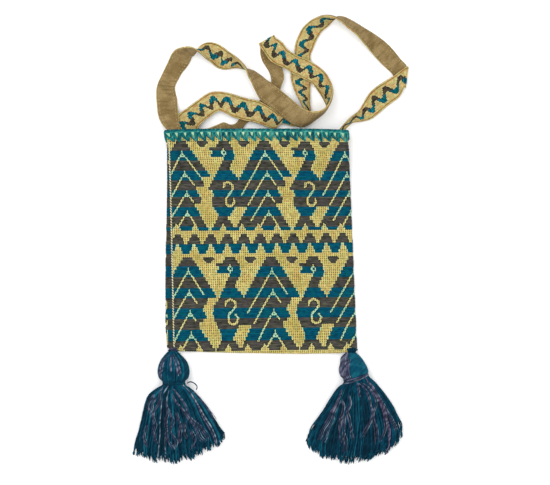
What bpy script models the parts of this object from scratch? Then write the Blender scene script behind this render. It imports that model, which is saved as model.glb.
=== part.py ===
"""Flat woven shoulder bag with a long lined strap and two yarn tassels.

Metres, +Z up. The bag lies on its back on z = 0, with its mouth towards +Y and
its strap laid out in loops beyond the mouth. Plan positions are given on a
drawing grid: x grows to the right, y grows downwards, one unit is 1.2 mm, and
(260, 241) is the origin. Heights are in millimetres.
"""

import math

import bmesh
import bpy
import numpy as np
from mathutils import Vector

MM = 0.001
GRID_MM = 1.2
GRID = GRID_MM * MM
GRID_X = 260.0
GRID_Y = 241.0

# cloth
WALL = 1.8 * MM
FLAT_STEPS = 14
SIDE_STEPS = 6
MOUTH_Y = 131.4

# rows down the bag: fraction of the way from mouth to bottom, height of the
# underside, thickness at the sides, how far the front swells in the middle
BODY_ROWS = (
    (0.000, 7.6, 9.4, 0.0),
    (0.050, 7.6, 9.4, 0.5),
    (0.104, 6.7, 9.2, 1.5),
    (0.150, 4.2, 8.6, 2.8),
    (0.195, 2.0, 8.0, 4.0),
    (0.247, 0.6, 7.2, 5.4),
    (0.300, 0.0, 6.6, 6.6),
    (0.375, 0.0, 6.0, 7.6),
    (0.450, 0.0, 5.6, 8.2),
    (0.600, 0.0, 5.2, 8.2),
    (0.750, 0.0, 4.8, 7.0),
    (0.880, 0.0, 4.6, 4.2),
    (0.960, 0.0, 4.4, 1.6),
    (1.000, 0.0, 4.4, 0.0),
)
LEFT_TOP_X = 165.5
LEFT_BOTTOM_X = 167.6
RIGHT_TOP_X = 347.5
RIGHT_BOTTOM_X = 356.6
# the bottom edge, from left to right: x, y
BOTTOM_EDGE = (
    (167.6, 346.8),
    (172.0, 348.8),
    (180.0, 350.6),
    (232.0, 352.2),
    (300.0, 353.2),
    (338.0, 352.6),
    (351.0, 351.0),
    (356.6, 349.4),
)

# mouth edging
EDGING_GAP = 0.3
EDGING_SKIN = 1.0 * MM
EDGING_ROWS = (-0.0045, 0.012, 0.028, 0.045)

# seams
SEAM_GAP = 0.3
SEAM_WIDTH = 1.4
SEAM_HEIGHT = 0.6
SIDE_SEAM_TOP = (170.4, 0.052)
SIDE_SEAM_BOTTOM = (174.9, 0.985)
BOTTOM_SEAM_X = (181.0, 341.0)
BOTTOM_SEAM_Z = (1.2, 3.2)
BOTTOM_SEAM_DEEP = 0.9

# strap: offsets of the skins from the middle surface, millimetres
BAND_FACES = (-1.55, -0.15)
LINING_FACES = (0.15, 0.95)
SPLINE_STEPS = 3
LINING_JOIN = 11
JOIN_SHARE = 0.1


def fold(left, right, low, high, outward):
    """Five stations round a flat fold, from the lower layer to the upper one."""
    radius = (high - low) / 2
    middle = (high + low) / 2
    rows = []
    for degrees in (-90, -45, 0, 45, 90):
        angle = math.radians(degrees)
        reach = abs(radius) / GRID_MM * math.cos(angle)
        height = middle + radius * math.sin(angle)
        shift = (outward[0] * reach, outward[1] * reach)
        rows.append(
            (
                left[0] + shift[0],
                left[1] + shift[1],
                height,
                right[0] + shift[0],
                right[1] + shift[1],
                height,
            )
        )
    return rows


# each row: left edge x, y, height and right edge x, y, height, seen along the
# strap from the mouth's left corner with the lining up
LEFT_RUN = [
    (169.2, 147, 12, 184.6, 147, 12),
    (169, 139, 12, 184, 139, 12),
    (168.6, 132, 11.8, 182.4, 132, 11.8),
    (165.2, 127.5, 10.8, 180, 128, 10.8),
    (162, 123.5, 9.4, 179.3, 123.5, 9.4),
    (159.7, 119, 8.4, 178.8, 118.5, 9),
    (158, 112, 6.2, 178.2, 112, 7.4),
    (157.2, 105, 3.6, 177.3, 105, 4.6),
    (156.5, 97, 2, 176.7, 98, 2),
    (156.5, 91, 1.8, 175.4, 93, 1.8),
    (156.8, 88, 1.8, 174.9, 89, 1.8),
    (157.2, 86.2, 1.8, 174.9, 87, 1.8),
    (159, 81, 1.8, 175.8, 84, 1.8),
    (162, 75, 2, 178.6, 78.8, 1.8),
    (165, 69, 3, 181.6, 73.5, 1.8),
    (168, 63, 3.5, 185.2, 69, 1.8),
    (169.9, 58.6, 4, 188, 65.3, 1.8),
    (172, 54.5, 5, 190, 61.5, 1.8),
    (175, 51.2, 7.5, 191.2, 58.8, 1.8),
    (179.5, 49.6, 12.5, 192, 57, 1.8),
    (184.5, 48.8, 17.5, 193.2, 56.2, 1.8),
    (190, 48.8, 22, 195, 54.4, 1.8),
    (196, 51.2, 24, 197.8, 50.6, 1.8),
    (201, 54.8, 23, 201.3, 46.2, 1.8),
    (205, 58.6, 18.5, 205.6, 43.6, 1.8),
    (209, 61.8, 12, 211, 42.9, 1.8),
    (213, 64.6, 5.5, 217, 44.2, 1.8),
    (217, 67.6, 2, 222.8, 47.2, 1.8),
    (223, 69.4, 1.8, 228.4, 51.4, 5),
    (229, 69.2, 1.8, 233.2, 55, 12),
    (234, 67.6, 1.8, 237.6, 58.8, 19),
    (239, 67.4, 1.8, 241.6, 63, 22.5),
    (244, 68.4, 1.8, 245.2, 67.4, 24.5),
    (249, 69.6, 1.8, 247.6, 72, 24.5),
    (253.4, 70.6, 2.2, 248.8, 75.6, 22),
    (257.4, 73, 3.2, 250.2, 79, 19.5),
    (262, 76.2, 5, 252, 82.4, 18),
    (266, 79.6, 7, 254, 87.6, 16.5),
    (270, 82.4, 8.8, 256.6, 93, 14),
    (274, 85.6, 10, 259.4, 98.4, 11),
    (279, 89.6, 10.4, 263.4, 101.8, 9.4),
    (285, 94.4, 10.6, 269.4, 106.2, 8.8),
    (291, 99.6, 11.4, 275.4, 111.2, 8),
    (297, 104.8, 13, 282, 116.8, 6.9),
    (303, 109.4, 15.5, 288.6, 122.2, 6.4),
    (307.6, 111.6, 17.6, 294.8, 126, 5.6),
    (311.8, 112.8, 19.4, 301.4, 127.6, 5.2),
    (316.2, 113, 21.4, 307.8, 125.6, 4),
    (320.8, 112.2, 23, 313.4, 121.6, 2.8),
    (324.8, 110.4, 24.2, 319.4, 117, 2),
    (327.8, 107.4, 25, 324.6, 112.4, 1.8),
    (330.4, 102.8, 25, 327.4, 107, 1.8),
    (332.2, 97.4, 23.4, 325, 100.6, 1.8),
    (332.8, 91, 20, 321.6, 95, 1.8),
    (331.8, 85, 16.5, 318.6, 91, 2.2),
    (329, 78.4, 12.5, 315.2, 86.6, 3.4),
    (325, 72.6, 9.6, 311.2, 82.6, 4.6),
    (320, 68.2, 7.6, 307.2, 80.6, 5),
    (314, 64, 6.6, 303, 78.6, 5),
    (308, 60.2, 6, 298, 76, 5),
    (302, 58, 5.6, 293.2, 74, 5),
    (297, 56, 5.6, 288, 70.6, 5),
    (291.6, 52.8, 5.8, 282.6, 67.4, 5.2),
    (287, 49.4, 6.2, 276.4, 64.8, 5.6),
    (283, 43.8, 6.8, 270.2, 60.6, 6.2),
    (279.4, 40.8, 7.4, 264.8, 53.4, 7),
]
HAIRPIN = fold((275.6, 38.4), (260.4, 47), 7.8, 1.8, (-0.45, -0.89))
UNDER_RUN = [
    (277, 44, 1.8, 260.4, 51.4, 1.8),
    (278.6, 51, 1.8, 261, 56.4, 1.8),
    (280, 58.4, 1.8, 263, 62, 1.8),
    (281.4, 65, 2.2, 266.2, 67, 1.8),
    (282.8, 71.4, 5.4, 269, 71.8, 1.8),
    (283.6, 77.4, 8, 270.8, 77.4, 1.8),
    (282.4, 83, 7.2, 271.2, 82.8, 1.8),
    (280, 89, 4.4, 269.8, 88, 1.8),
    (277.4, 95.6, 2.2, 266.6, 93, 1.8),
    (273, 102.6, 1.8, 262.2, 97.6, 1.8),
    (267.4, 109.4, 1.8, 257.2, 103, 1.8),
    (260.2, 115.4, 1.8, 251, 108.4, 1.8),
    (253, 119.8, 1.8, 245.4, 112.8, 1.8),
    (247.2, 122.6, 1.8, 240.6, 117.2, 1.8),
    (242.8, 128, 1.8, 236, 123.2, 1.8),
    (237, 135, 1.8, 230.4, 124.6, 1.8),
    (229, 141, 1.8, 224, 122.6, 3),
    (218, 145.6, 1.8, 216.6, 125.4, 3.2),
    (206, 149.4, 1.8, 205, 129.4, 2.4),
    (199, 151.8, 1.8, 191, 131, 1.8),
]
MOUTH_FOLD = fold((193.8, 152.6), (173.4, 131.8), 1.8, 4.4, (-0.71, 0.71))
RIGHT_RUN = [
    (194.6, 146, 4.4, 173.4, 127.2, 4.4),
    (195.6, 138, 4.4, 174.6, 122, 4.4),
    (197.2, 131, 4.5, 176.6, 117.4, 4.3),
    (199.8, 125.4, 4.6, 180.2, 113.4, 4.6),
    (203.4, 121.8, 4.6, 185, 110.2, 4.6),
    (208, 118, 4.6, 191, 105.6, 4.6),
    (213, 114.4, 4.6, 197.4, 101, 4.6),
    (217, 111.8, 4.8, 204, 96.2, 4.6),
    (220, 111.2, 5.2, 211.4, 92.4, 4.8),
    (221.8, 111.6, 5.4, 219, 92, 4.8),
    (225, 113, 5, 227, 93, 4.8),
    (231, 116.2, 4.8, 235, 95.2, 4.8),
    (238, 118.8, 4.8, 243, 97.8, 4.8),
    (246, 120.8, 4.8, 251, 99.6, 4.8),
    (254, 122.2, 4.8, 259, 101.4, 4.7),
    (261.6, 124.6, 4.6, 266.4, 105.2, 4.7),
    (268.6, 127.4, 3.2, 273.4, 110, 3.4),
    (275, 128.4, 1.8, 280, 114.8, 2.2),
    (281.2, 124.2, 1.7, 286, 113.4, 3),
    (287, 124.6, 1.7, 291.8, 113.6, 4.4),
    (293, 126, 1.7, 297, 114, 6),
    (299, 124.8, 1.8, 300.6, 112.8, 8),
    (304.4, 121.6, 1.8, 302.6, 111.6, 9.2),
    (308, 117, 1.8, 303.6, 110, 10),
    (309.8, 112.2, 1.8, 303.2, 107.8, 10),
    (309.8, 108, 1.8, 301.6, 105, 9.6),
    (309.2, 103, 1.7, 299.6, 101.2, 9),
    (309.6, 98, 1.6, 297, 97, 8.4),
    (309.8, 93, 1.5, 294.8, 92.4, 7),
    (310, 88, 1.4, 293, 87.4, 5),
    (310.4, 83, 1.4, 291.6, 82.4, 2.6),
    (310.6, 77, 1.4, 290.8, 76.6, 1.5),
    (310.8, 70, 1.4, 291.6, 69.4, 1.4),
    (310.8, 62, 1.4, 293.6, 61.6, 1.4),
    (310.4, 55.4, 1.4, 294.8, 54.6, 1.4),
    (312, 50.8, 1.4, 294.8, 50, 1.4),
    (314, 46, 1.4, 295.4, 44.6, 1.4),
    (316, 41.2, 1.4, 297, 39.4, 1.4),
    (318.2, 36.8, 1.4, 299.4, 34, 1.4),
    (320.6, 33, 1.4, 302.4, 28.6, 1.4),
    (323.2, 30.2, 1.4, 306.4, 24, 2.4),
    (326, 27.6, 1.4, 311.2, 20.2, 5.6),
    (328.6, 25, 1.4, 316.2, 18, 10.4),
    (330.8, 22.4, 1.5, 321.4, 16.6, 15.6),
    (332.6, 20.4, 1.6, 327.2, 16.4, 20.2),
    (334.8, 18.4, 1.8, 333.4, 17.8, 23.6),
    (338.4, 16.6, 1.8, 338.6, 20.6, 23),
    (345, 17.4, 1.8, 343.2, 24, 21.4),
    (351.4, 20.4, 1.8, 347.8, 28.2, 20.4),
    (358, 24.2, 1.8, 352.8, 31.8, 19.6),
    (364.4, 28.2, 1.8, 358, 36.6, 18),
    (371, 32, 1.8, 362.4, 42, 15),
    (377.8, 36.4, 1.8, 367.2, 47.6, 11.4),
    (384, 41, 1.8, 372.4, 53.8, 8),
    (390, 46.6, 1.8, 378, 60, 5),
    (396, 53.6, 1.8, 384, 66.2, 3),
    (400.6, 59.4, 1.8, 390.4, 72, 2),
    (404, 62.8, 1.8, 396.2, 78.6, 1.8),
    (406, 65, 1.8, 401, 84, 1.8),
]
CORNER_FOLD = fold((406.4, 66.8), (403.6, 87.6), 1.8, 4.4, (0.99, 0.13))
END_RUN = [
    (400, 71.4, 4.4, 403, 90, 4.2),
    (394, 76, 4.2, 401.4, 93.4, 3.4),
    (388.4, 79.4, 3.2, 399, 97, 2),
    (382.4, 83, 1.6, 394.6, 100.6, 1.4),
    (376, 87.4, 1.4, 388, 105.4, 1.4),
    (370.4, 92.4, 1.4, 382.6, 110, 1.4),
    (366, 98.4, 1.6, 376.6, 115, 1.4),
    (362.6, 104.6, 2.4, 371, 119, 1.4),
    (359, 110.2, 4, 364.4, 121, 1.6),
    (355, 113.8, 6, 358, 121.8, 2.4),
    (350.4, 117.4, 8, 352.4, 122.6, 4.4),
    (346, 121.8, 10, 348.4, 125.6, 7),
    (341.6, 126.4, 11.2, 345.4, 129.4, 10),
    (338, 131.6, 11.4, 343, 133.2, 11.2),
    (336, 139, 11.4, 342.4, 139.4, 11.4),
    (336, 147, 11.4, 342.4, 147, 11.4),
]
STRAP = LEFT_RUN + HAIRPIN + UNDER_RUN + MOUTH_FOLD + RIGHT_RUN + CORNER_FOLD + END_RUN

# tassels, rows from the knot down: left, middle and right point of the row on
# the grid, underside height and thickness
KNOT_RADIUS = 2.6
KNOT_HEIGHT = 2.9
KNOT_GAP = 0.4
KNOT_SEGMENTS = (16, 10)
LEFT_KNOT = (172.2, 351.5)
RIGHT_KNOT = (351.4, 353.7)
TASSEL_STEPS = 22
BINDING_GAP = 0.3
BINDING_SKIN = 1.5 * MM
LEFT_TASSEL = (
    ((169.2, 354.2), (172.5, 354.0), (176.6, 354.2), 0.6, 5.2),
    ((164.6, 356.6), (173.0, 356.6), (182.0, 356.6), 0.4, 11.0),
    ((161.0, 361.0), (173.6, 361.0), (186.4, 361.0), 0.3, 17.0),
    ((158.9, 367.0), (174.0, 367.0), (188.8, 367.0), 0.3, 20.5),
    ((158.6, 373.0), (174.0, 373.0), (189.2, 373.0), 0.3, 20.5),
    ((160.2, 378.0), (174.0, 378.0), (187.6, 378.0), 1.0, 17.5),
    ((163.0, 380.6), (174.0, 380.6), (184.8, 380.6), 2.6, 13.6),
    ((163.0, 384.6), (174.0, 384.8), (185.4, 384.4), 2.6, 13.4),
    ((157.6, 387.6), (174.2, 389.4), (190.6, 388.0), 1.0, 14.4),
    ((148.8, 394.0), (174.6, 398.0), (198.6, 395.6), 0.3, 14.4),
    ((144.6, 403.0), (176.0, 410.0), (206.8, 405.6), 0.3, 13.4),
    ((141.0, 418.0), (177.0, 425.0), (215.0, 416.6), 0.3, 12.2),
    ((138.0, 433.0), (178.0, 440.0), (222.0, 427.0), 0.3, 11.0),
    ((135.0, 446.0), (179.0, 452.0), (225.6, 434.0), 0.3, 9.6),
    ((134.2, 451.6), (180.0, 459.0), (226.8, 437.4), 0.3, 8.0),
)
RIGHT_TASSEL = (
    ((347.6, 356.4), (351.6, 356.2), (356.4, 356.2), 0.6, 5.2),
    ((343.4, 359.0), (352.4, 359.0), (360.8, 358.6), 0.4, 11.0),
    ((340.4, 363.6), (352.8, 363.6), (364.0, 362.6), 0.3, 16.4),
    ((339.0, 369.0), (353.4, 368.6), (366.4, 367.0), 0.3, 19.0),
    ((340.4, 375.0), (354.0, 373.6), (367.6, 371.0), 0.9, 18.0),
    ((343.4, 378.6), (355.0, 376.8), (367.2, 373.2), 2.6, 14.6),
    ((343.6, 382.6), (356.0, 380.8), (369.4, 377.0), 2.6, 14.2),
    ((337.6, 387.4), (357.0, 386.4), (376.4, 383.2), 1.0, 14.6),
    ((328.8, 399.6), (357.6, 401.0), (386.8, 396.6), 0.3, 14.2),
    ((319.8, 413.4), (358.0, 418.0), (395.6, 410.6), 0.3, 13.0),
    ((309.6, 427.6), (357.4, 436.0), (400.6, 422.4), 0.3, 11.4),
    ((305.2, 440.6), (355.6, 452.0), (401.6, 434.0), 0.3, 9.6),
    ((306.2, 446.4), (354.0, 460.0), (400.2, 440.6), 0.3, 8.0),
)
LEFT_NECK_ROW = 6
RIGHT_NECK_ROW = 5
# curled yarn end beside the left binding: x, y, height
LOOSE_END = (
    (187.5, 382.7, 9.4),
    (189.8, 381.6, 9.0),
    (192.2, 381.8, 8.4),
    (194.8, 383.2, 7.6),
    (196.8, 385.4, 6.8),
    (197.2, 387.4, 6.2),
    (196.4, 389.4, 5.8),
)
LOOSE_RADIUS = 0.6 * MM
LOOSE_RESOLUTION = 3

COLOURS = {
    "woven_body": (0.62, 0.48, 0.16, 1.0),
    "side_seam": (0.70, 0.58, 0.24, 1.0),
    "bottom_seam": (0.66, 0.52, 0.20, 1.0),
    "mouth_edging": (0.02, 0.22, 0.31, 1.0),
    "strap_band": (0.60, 0.43, 0.14, 1.0),
    "strap_lining_short": (0.27, 0.18, 0.07, 1.0),
    "strap_lining_long": (0.27, 0.18, 0.07, 1.0),
    "left_tie": (0.02, 0.12, 0.19, 1.0),
    "right_tie": (0.02, 0.12, 0.19, 1.0),
    "left_tassel_yarn": (0.01, 0.10, 0.17, 1.0),
    "right_tassel_yarn": (0.01, 0.10, 0.17, 1.0),
    "left_tassel_binding": (0.02, 0.12, 0.19, 1.0),
    "right_tassel_binding": (0.15, 0.10, 0.14, 1.0),
    "left_loose_end": (0.03, 0.05, 0.06, 1.0),
}


def plan(x, y, height=0.0):
    """Point in metres for a grid position and a height in millimetres."""
    return Vector(((x - GRID_X) * GRID, (GRID_Y - y) * GRID, height * MM))


def between(rows, position):
    """Values of a table of rows at a position, by straight interpolation."""
    if position <= rows[0][0]:
        return rows[0][1:]
    for low, high in zip(rows, rows[1:]):
        if position <= high[0]:
            share = (position - low[0]) / (high[0] - low[0])
            return tuple(a + (b - a) * share for a, b in zip(low[1:], high[1:]))
    return rows[-1][1:]


def body_point(across, down, grow=0.0, face="front"):
    """Point on the cloth's outside.

    across runs from 0 at the left side to 1 at the right side over the flat
    part, down from 0 at the mouth to 1 at the bottom; grow moves it outwards.
    """
    under, thick, swell = between(BODY_ROWS, max(down, 0.0))
    radius = thick / 2
    left = (LEFT_TOP_X + (LEFT_BOTTOM_X - LEFT_TOP_X) * down) + radius / GRID_MM
    right = (RIGHT_TOP_X + (RIGHT_BOTTOM_X - RIGHT_TOP_X) * down) - radius / GRID_MM
    x = left + (right - left) * across
    y = MOUTH_Y + (between(BOTTOM_EDGE, x)[0] - MOUTH_Y) * down
    if face == "front":
        centred = 2 * across - 1
        height = under + thick + swell * (1 - centred * centred) + grow
    else:
        height = under - grow
    return x, y, height, radius, under


def body_ring(down, grow=0.0):
    """Closed outline of the cloth at one row, as points in metres."""
    ring = []
    for step in range(FLAT_STEPS + 1):
        x, y, height, _, _ = body_point(step / FLAT_STEPS, down, grow, "back")
        ring.append(plan(x, y, height))
    for across, turn in ((1.0, 1), (0.0, -1)):
        if turn < 0:
            for step in range(FLAT_STEPS + 1):
                share = 1 - step / FLAT_STEPS
                x, y, height, _, _ = body_point(share, down, grow)
                ring.append(plan(x, y, height))
        x, y, _, radius, under = body_point(across, down, grow, "back")
        for step in range(1, SIDE_STEPS):
            angle = math.pi * step / SIDE_STEPS
            if turn < 0:
                angle = math.pi - angle
            reach = turn * (radius + grow) * math.sin(angle) / GRID_MM
            height = under + radius - (radius + grow) * math.cos(angle)
            ring.append(plan(x + reach, y, height))
    return ring


def loft(rings, origin=Vector((0, 0, 0)), caps=(True, True), split=False):
    """Mesh through closed outlines of equal point count, ends capped if asked.

    Split cuts each face in two, along the same diagonal on both sides of a
    skin, so that twisted skins keep their gap.
    """
    mesh = bmesh.new()
    layers = [[mesh.verts.new(point - origin) for point in ring] for ring in rings]
    count = len(layers[0])
    for near, far in zip(layers, layers[1:]):
        for index in range(count):
            after = (index + 1) % count
            corners = (near[index], near[after], far[after], far[index])
            if not split:
                mesh.faces.new(corners)
            elif index < count // 2:
                mesh.faces.new((corners[0], corners[1], corners[2]))
                mesh.faces.new((corners[0], corners[2], corners[3]))
            else:
                mesh.faces.new((corners[0], corners[1], corners[3]))
                mesh.faces.new((corners[1], corners[2], corners[3]))
    if caps[0]:
        mesh.faces.new(tuple(reversed(layers[0])))
    if caps[1]:
        mesh.faces.new(tuple(layers[-1]))
    bmesh.ops.recalc_face_normals(mesh, faces=mesh.faces)
    return mesh


def close_bottom(mesh, count):
    """Bottom edge closed with a ladder of faces from the back to the front.

    The last ring's points start at the left of the back; the ladder starts at
    the middle of the left side.
    """
    mesh.verts.ensure_lookup_table()
    first = len(mesh.verts) - count
    start = count - SIDE_STEPS // 2
    for step in range(count // 2):
        here, there = (mesh.verts[first + (start + turn * step) % count] for turn in (1, -1))
        next_here, next_there = (mesh.verts[first + (start + turn * (step + 1)) % count] for turn in (1, -1))
        corners = dict.fromkeys((here, next_here, next_there, there))
        mesh.faces.new(tuple(corners))
    bmesh.ops.recalc_face_normals(mesh, faces=mesh.faces)


def add_object(name, mesh, group, origin=Vector((0, 0, 0))):
    """Object with its own material from a bmesh, placed at its origin."""
    data = bpy.data.meshes.new(name)
    mesh.to_mesh(data)
    mesh.free()
    thing = bpy.data.objects.new(name, data)
    thing.location = origin
    add_material(thing)
    group.objects.link(thing)
    return thing


def add_material(thing):
    """Plain Principled material in the node's colour."""
    finish = bpy.data.materials.new(thing.name)
    finish.use_nodes = True
    shader = finish.node_tree.nodes["Principled BSDF"]
    shader.inputs["Base Color"].default_value = COLOURS[thing.name]
    shader.inputs["Roughness"].default_value = 0.9
    thing.data.materials.append(finish)


def add_skin(thing, thickness, offset):
    """Solidify modifier of an even thickness."""
    skin = thing.modifiers.new("skin", "SOLIDIFY")
    skin.thickness = thickness
    skin.offset = offset
    skin.use_even_offset = True
    skin.use_rim = True


def make_body(group):
    """Cloth shell, open at the mouth and closed along the bottom."""
    rings = [body_ring(row[0]) for row in BODY_ROWS]
    cloth = loft(rings, caps=(False, False))
    close_bottom(cloth, len(rings[-1]))
    body = add_object("woven_body", cloth, group)
    add_skin(body, WALL, -1.0)


def make_edging(group):
    """Stitched border round the mouth, outside the cloth."""
    rings = [body_ring(down, EDGING_GAP) for down in EDGING_ROWS]
    edging = add_object("mouth_edging", loft(rings, caps=(False, False)), group)
    add_skin(edging, EDGING_SKIN, 1.0)


def make_side_seam(group):
    """Thread line up the left of the front."""
    rows = [SIDE_SEAM_TOP[1]]
    rows += [row[0] for row in BODY_ROWS if SIDE_SEAM_TOP[1] < row[0] < SIDE_SEAM_BOTTOM[1]]
    rows.append(SIDE_SEAM_BOTTOM[1])
    rings = []
    for down in rows:
        share = (down - rows[0]) / (rows[-1] - rows[0])
        middle = SIDE_SEAM_TOP[0] + (SIDE_SEAM_BOTTOM[0] - SIDE_SEAM_TOP[0]) * share
        left, _, _, _, _ = body_point(0.0, down)
        right, y, _, _, _ = body_point(1.0, down)
        corners = []
        for side in (-1, 1):
            x = middle + side * SEAM_WIDTH / 2 / GRID_MM
            _, _, height, _, _ = body_point((x - left) / (right - left), down, SEAM_GAP)
            y = MOUTH_Y + (between(BOTTOM_EDGE, x)[0] - MOUTH_Y) * down
            corners.append((plan(x, y, height), plan(x, y, height + SEAM_HEIGHT)))
        (low_left, high_left), (low_right, high_right) = corners
        rings.append((low_left, low_right, high_right, high_left))
    add_object("side_seam", loft(rings), group)


def make_bottom_seam(group):
    """Thread line under the bottom edge."""
    stops = [BOTTOM_SEAM_X[0]]
    stops += [x for x, _ in BOTTOM_EDGE if BOTTOM_SEAM_X[0] < x < BOTTOM_SEAM_X[1]]
    stops.append(BOTTOM_SEAM_X[1])
    rings = []
    for x in stops:
        near = between(BOTTOM_EDGE, x)[0] + SEAM_GAP / GRID_MM
        far = near + BOTTOM_SEAM_DEEP / GRID_MM
        low, high = BOTTOM_SEAM_Z
        rings.append((plan(x, near, low), plan(x, far, low), plan(x, far, high), plan(x, near, high)))
    add_object("bottom_seam", loft(rings), group)


def smooth_strap():
    """Stations of the strap's two edges in metres, smoothed along the strap."""
    points = [np.array((*plan(*row[:3]), *plan(*row[3:]))) for row in STRAP]
    points = [2 * points[0] - points[1], *points, 2 * points[-1] - points[-2]]
    smooth = []
    for a, b, c, d in zip(points, points[1:], points[2:], points[3:]):
        knots = [0.0]
        for near, far in ((a, b), (b, c), (c, d)):
            knots.append(knots[-1] + math.sqrt(np.linalg.norm(far - near)))
        for step in range(SPLINE_STEPS):
            t = knots[1] + (knots[2] - knots[1]) * step / SPLINE_STEPS
            smooth.append(spline_point((a, b, c, d), knots, t))
    smooth.append(points[-2])
    return smooth


def spline_point(points, knots, t):
    """Point of a centripetal Catmull-Rom span at knot value t."""
    level = list(points)
    for reach in (1, 2, 3):
        step = []
        for index in range(4 - reach):
            low = knots[index] if reach < 3 else knots[1]
            high = knots[index + reach] if reach < 3 else knots[2]
            share = (t - low) / (high - low)
            step.append(level[index] * (1 - share) + level[index + 1] * share)
        level = step
    return level[0]


def strap_rings(stations, faces):
    """Four-cornered sections of one skin of the strap."""
    rings = []
    for index, station in enumerate(stations):
        before = stations[max(index - 1, 0)]
        after = stations[min(index + 1, len(stations) - 1)]
        heading = Vector(after[:3] + after[3:]) - Vector(before[:3] + before[3:])
        left, right = Vector(station[:3]), Vector(station[3:])
        normal = heading.cross(left - right).normalized()
        near, far = normal * faces[0] * MM, normal * faces[1] * MM
        rings.append((left + near, right + near, right + far, left + far))
    return rings


def make_strap(group):
    """Woven band in one length and its lining in two."""
    stations = smooth_strap()
    join = LINING_JOIN * SPLINE_STEPS
    restart = stations[join] * (1 - JOIN_SHARE) + stations[join + 1] * JOIN_SHARE
    short = stations[: join + 1]
    long = [restart, *stations[join + 1 :]]
    skins = (
        ("strap_band", stations, BAND_FACES),
        ("strap_lining_short", short, LINING_FACES),
        ("strap_lining_long", long, LINING_FACES),
    )
    for name, part, faces in skins:
        add_object(name, loft(strap_rings(part, faces), split=True), group)


def tassel_ring(row, grow=0.0):
    """Oval section of a tassel, bent in plan through the row's three points."""
    left, middle, right, under, thick = row
    ring = []
    for step in range(TASSEL_STEPS):
        angle = 2 * math.pi * step / TASSEL_STEPS
        side = math.cos(angle)
        weights = (side * (side - 1) / 2, 1 - side * side, side * (side + 1) / 2)
        x, y = (
            weights[0] * left[axis] + weights[1] * middle[axis] + weights[2] * right[axis]
            for axis in (0, 1)
        )
        height = under + thick / 2 + (thick / 2 + grow) * math.sin(angle)
        ring.append(plan(x + grow / GRID_MM * side, y, height))
    return ring


def make_tassel(side, rows, neck, knot, group):
    """Knot, yarn and binding of one tassel, all with their origin on the knot."""
    pivot = plan(knot[0], knot[1], KNOT_HEIGHT)
    ball = bmesh.new()
    around, upward = KNOT_SEGMENTS
    bmesh.ops.create_uvsphere(ball, u_segments=around, v_segments=upward, radius=KNOT_RADIUS * MM)
    add_object(f"{side}_tie", ball, group, pivot)
    rows = hang_rows(rows, knot)
    yarn = loft([tassel_ring(row) for row in rows], pivot)
    add_object(f"{side}_tassel_yarn", yarn, group, pivot)
    wound = loft([tassel_ring(row, BINDING_GAP) for row in neck_rows(rows, neck)], pivot, (False, False))
    binding = add_object(f"{side}_tassel_binding", wound, group, pivot)
    add_skin(binding, BINDING_SKIN, 1.0)
    return pivot


def hang_rows(rows, knot):
    """Rows of a tassel, with the first row a named gap below its knot."""
    top = rows[0]
    drop = knot[1] + (KNOT_RADIUS + KNOT_GAP) / GRID_MM - top[1][1]
    moved = tuple((x, y + drop) for x, y in top[:3])
    return ((*moved, *top[3:]), *rows[1:])


def neck_rows(rows, neck):
    """Rows just inside the straight neck between the head and the skirt."""
    picked = []
    for share in (0.1, 0.5, 0.9):
        upper, lower = rows[neck], rows[neck + 1]
        plan_points = [
            tuple(a + (b - a) * share for a, b in zip(upper[index], lower[index]))
            for index in range(3)
        ]
        sizes = [upper[index] + (lower[index] - upper[index]) * share for index in (3, 4)]
        picked.append((*plan_points, *sizes))
    return picked


def make_loose_end(group, pivot):
    """Curled yarn end as a round cord."""
    curve = bpy.data.curves.new("left_loose_end", "CURVE")
    curve.dimensions = "3D"
    curve.bevel_depth = LOOSE_RADIUS
    curve.bevel_resolution = LOOSE_RESOLUTION
    curve.use_fill_caps = True
    path = curve.splines.new("POLY")
    path.points.add(len(LOOSE_END) - 1)
    for point, place in zip(path.points, LOOSE_END):
        point.co = (*(plan(*place) - pivot), 1.0)
    thing = bpy.data.objects.new("left_loose_end", curve)
    thing.location = pivot
    add_material(thing)
    group.objects.link(thing)


def main():
    """Build the whole bag in an empty scene."""
    for thing in list(bpy.data.objects):
        bpy.data.objects.remove(thing, do_unlink=True)
    group = bpy.data.collections.new("woven_shoulder_bag")
    bpy.context.scene.collection.children.link(group)
    make_body(group)
    make_edging(group)
    make_side_seam(group)
    make_bottom_seam(group)
    make_strap(group)
    left_pivot = make_tassel("left", LEFT_TASSEL, LEFT_NECK_ROW, LEFT_KNOT, group)
    make_tassel("right", RIGHT_TASSEL, RIGHT_NECK_ROW, RIGHT_KNOT, group)
    make_loose_end(group, left_pivot)


main()
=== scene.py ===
"""Looks of a flat woven shoulder bag with a long lined strap and two yarn tassels.

Metres, +Z up. The bag lies on its back on z = 0, with its mouth towards +Y and
its strap laid out in loops beyond the mouth. Plan positions are given on a
drawing grid: x grows to the right, y grows downwards, one unit is 1.2 mm, and
(260, 241) is the origin. Heights are in millimetres.
"""

from __future__ import annotations

import logging
import math
import random
from dataclasses import dataclass
from enum import Enum

import bmesh
import bpy
import numpy as np
from mathutils import Matrix

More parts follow.
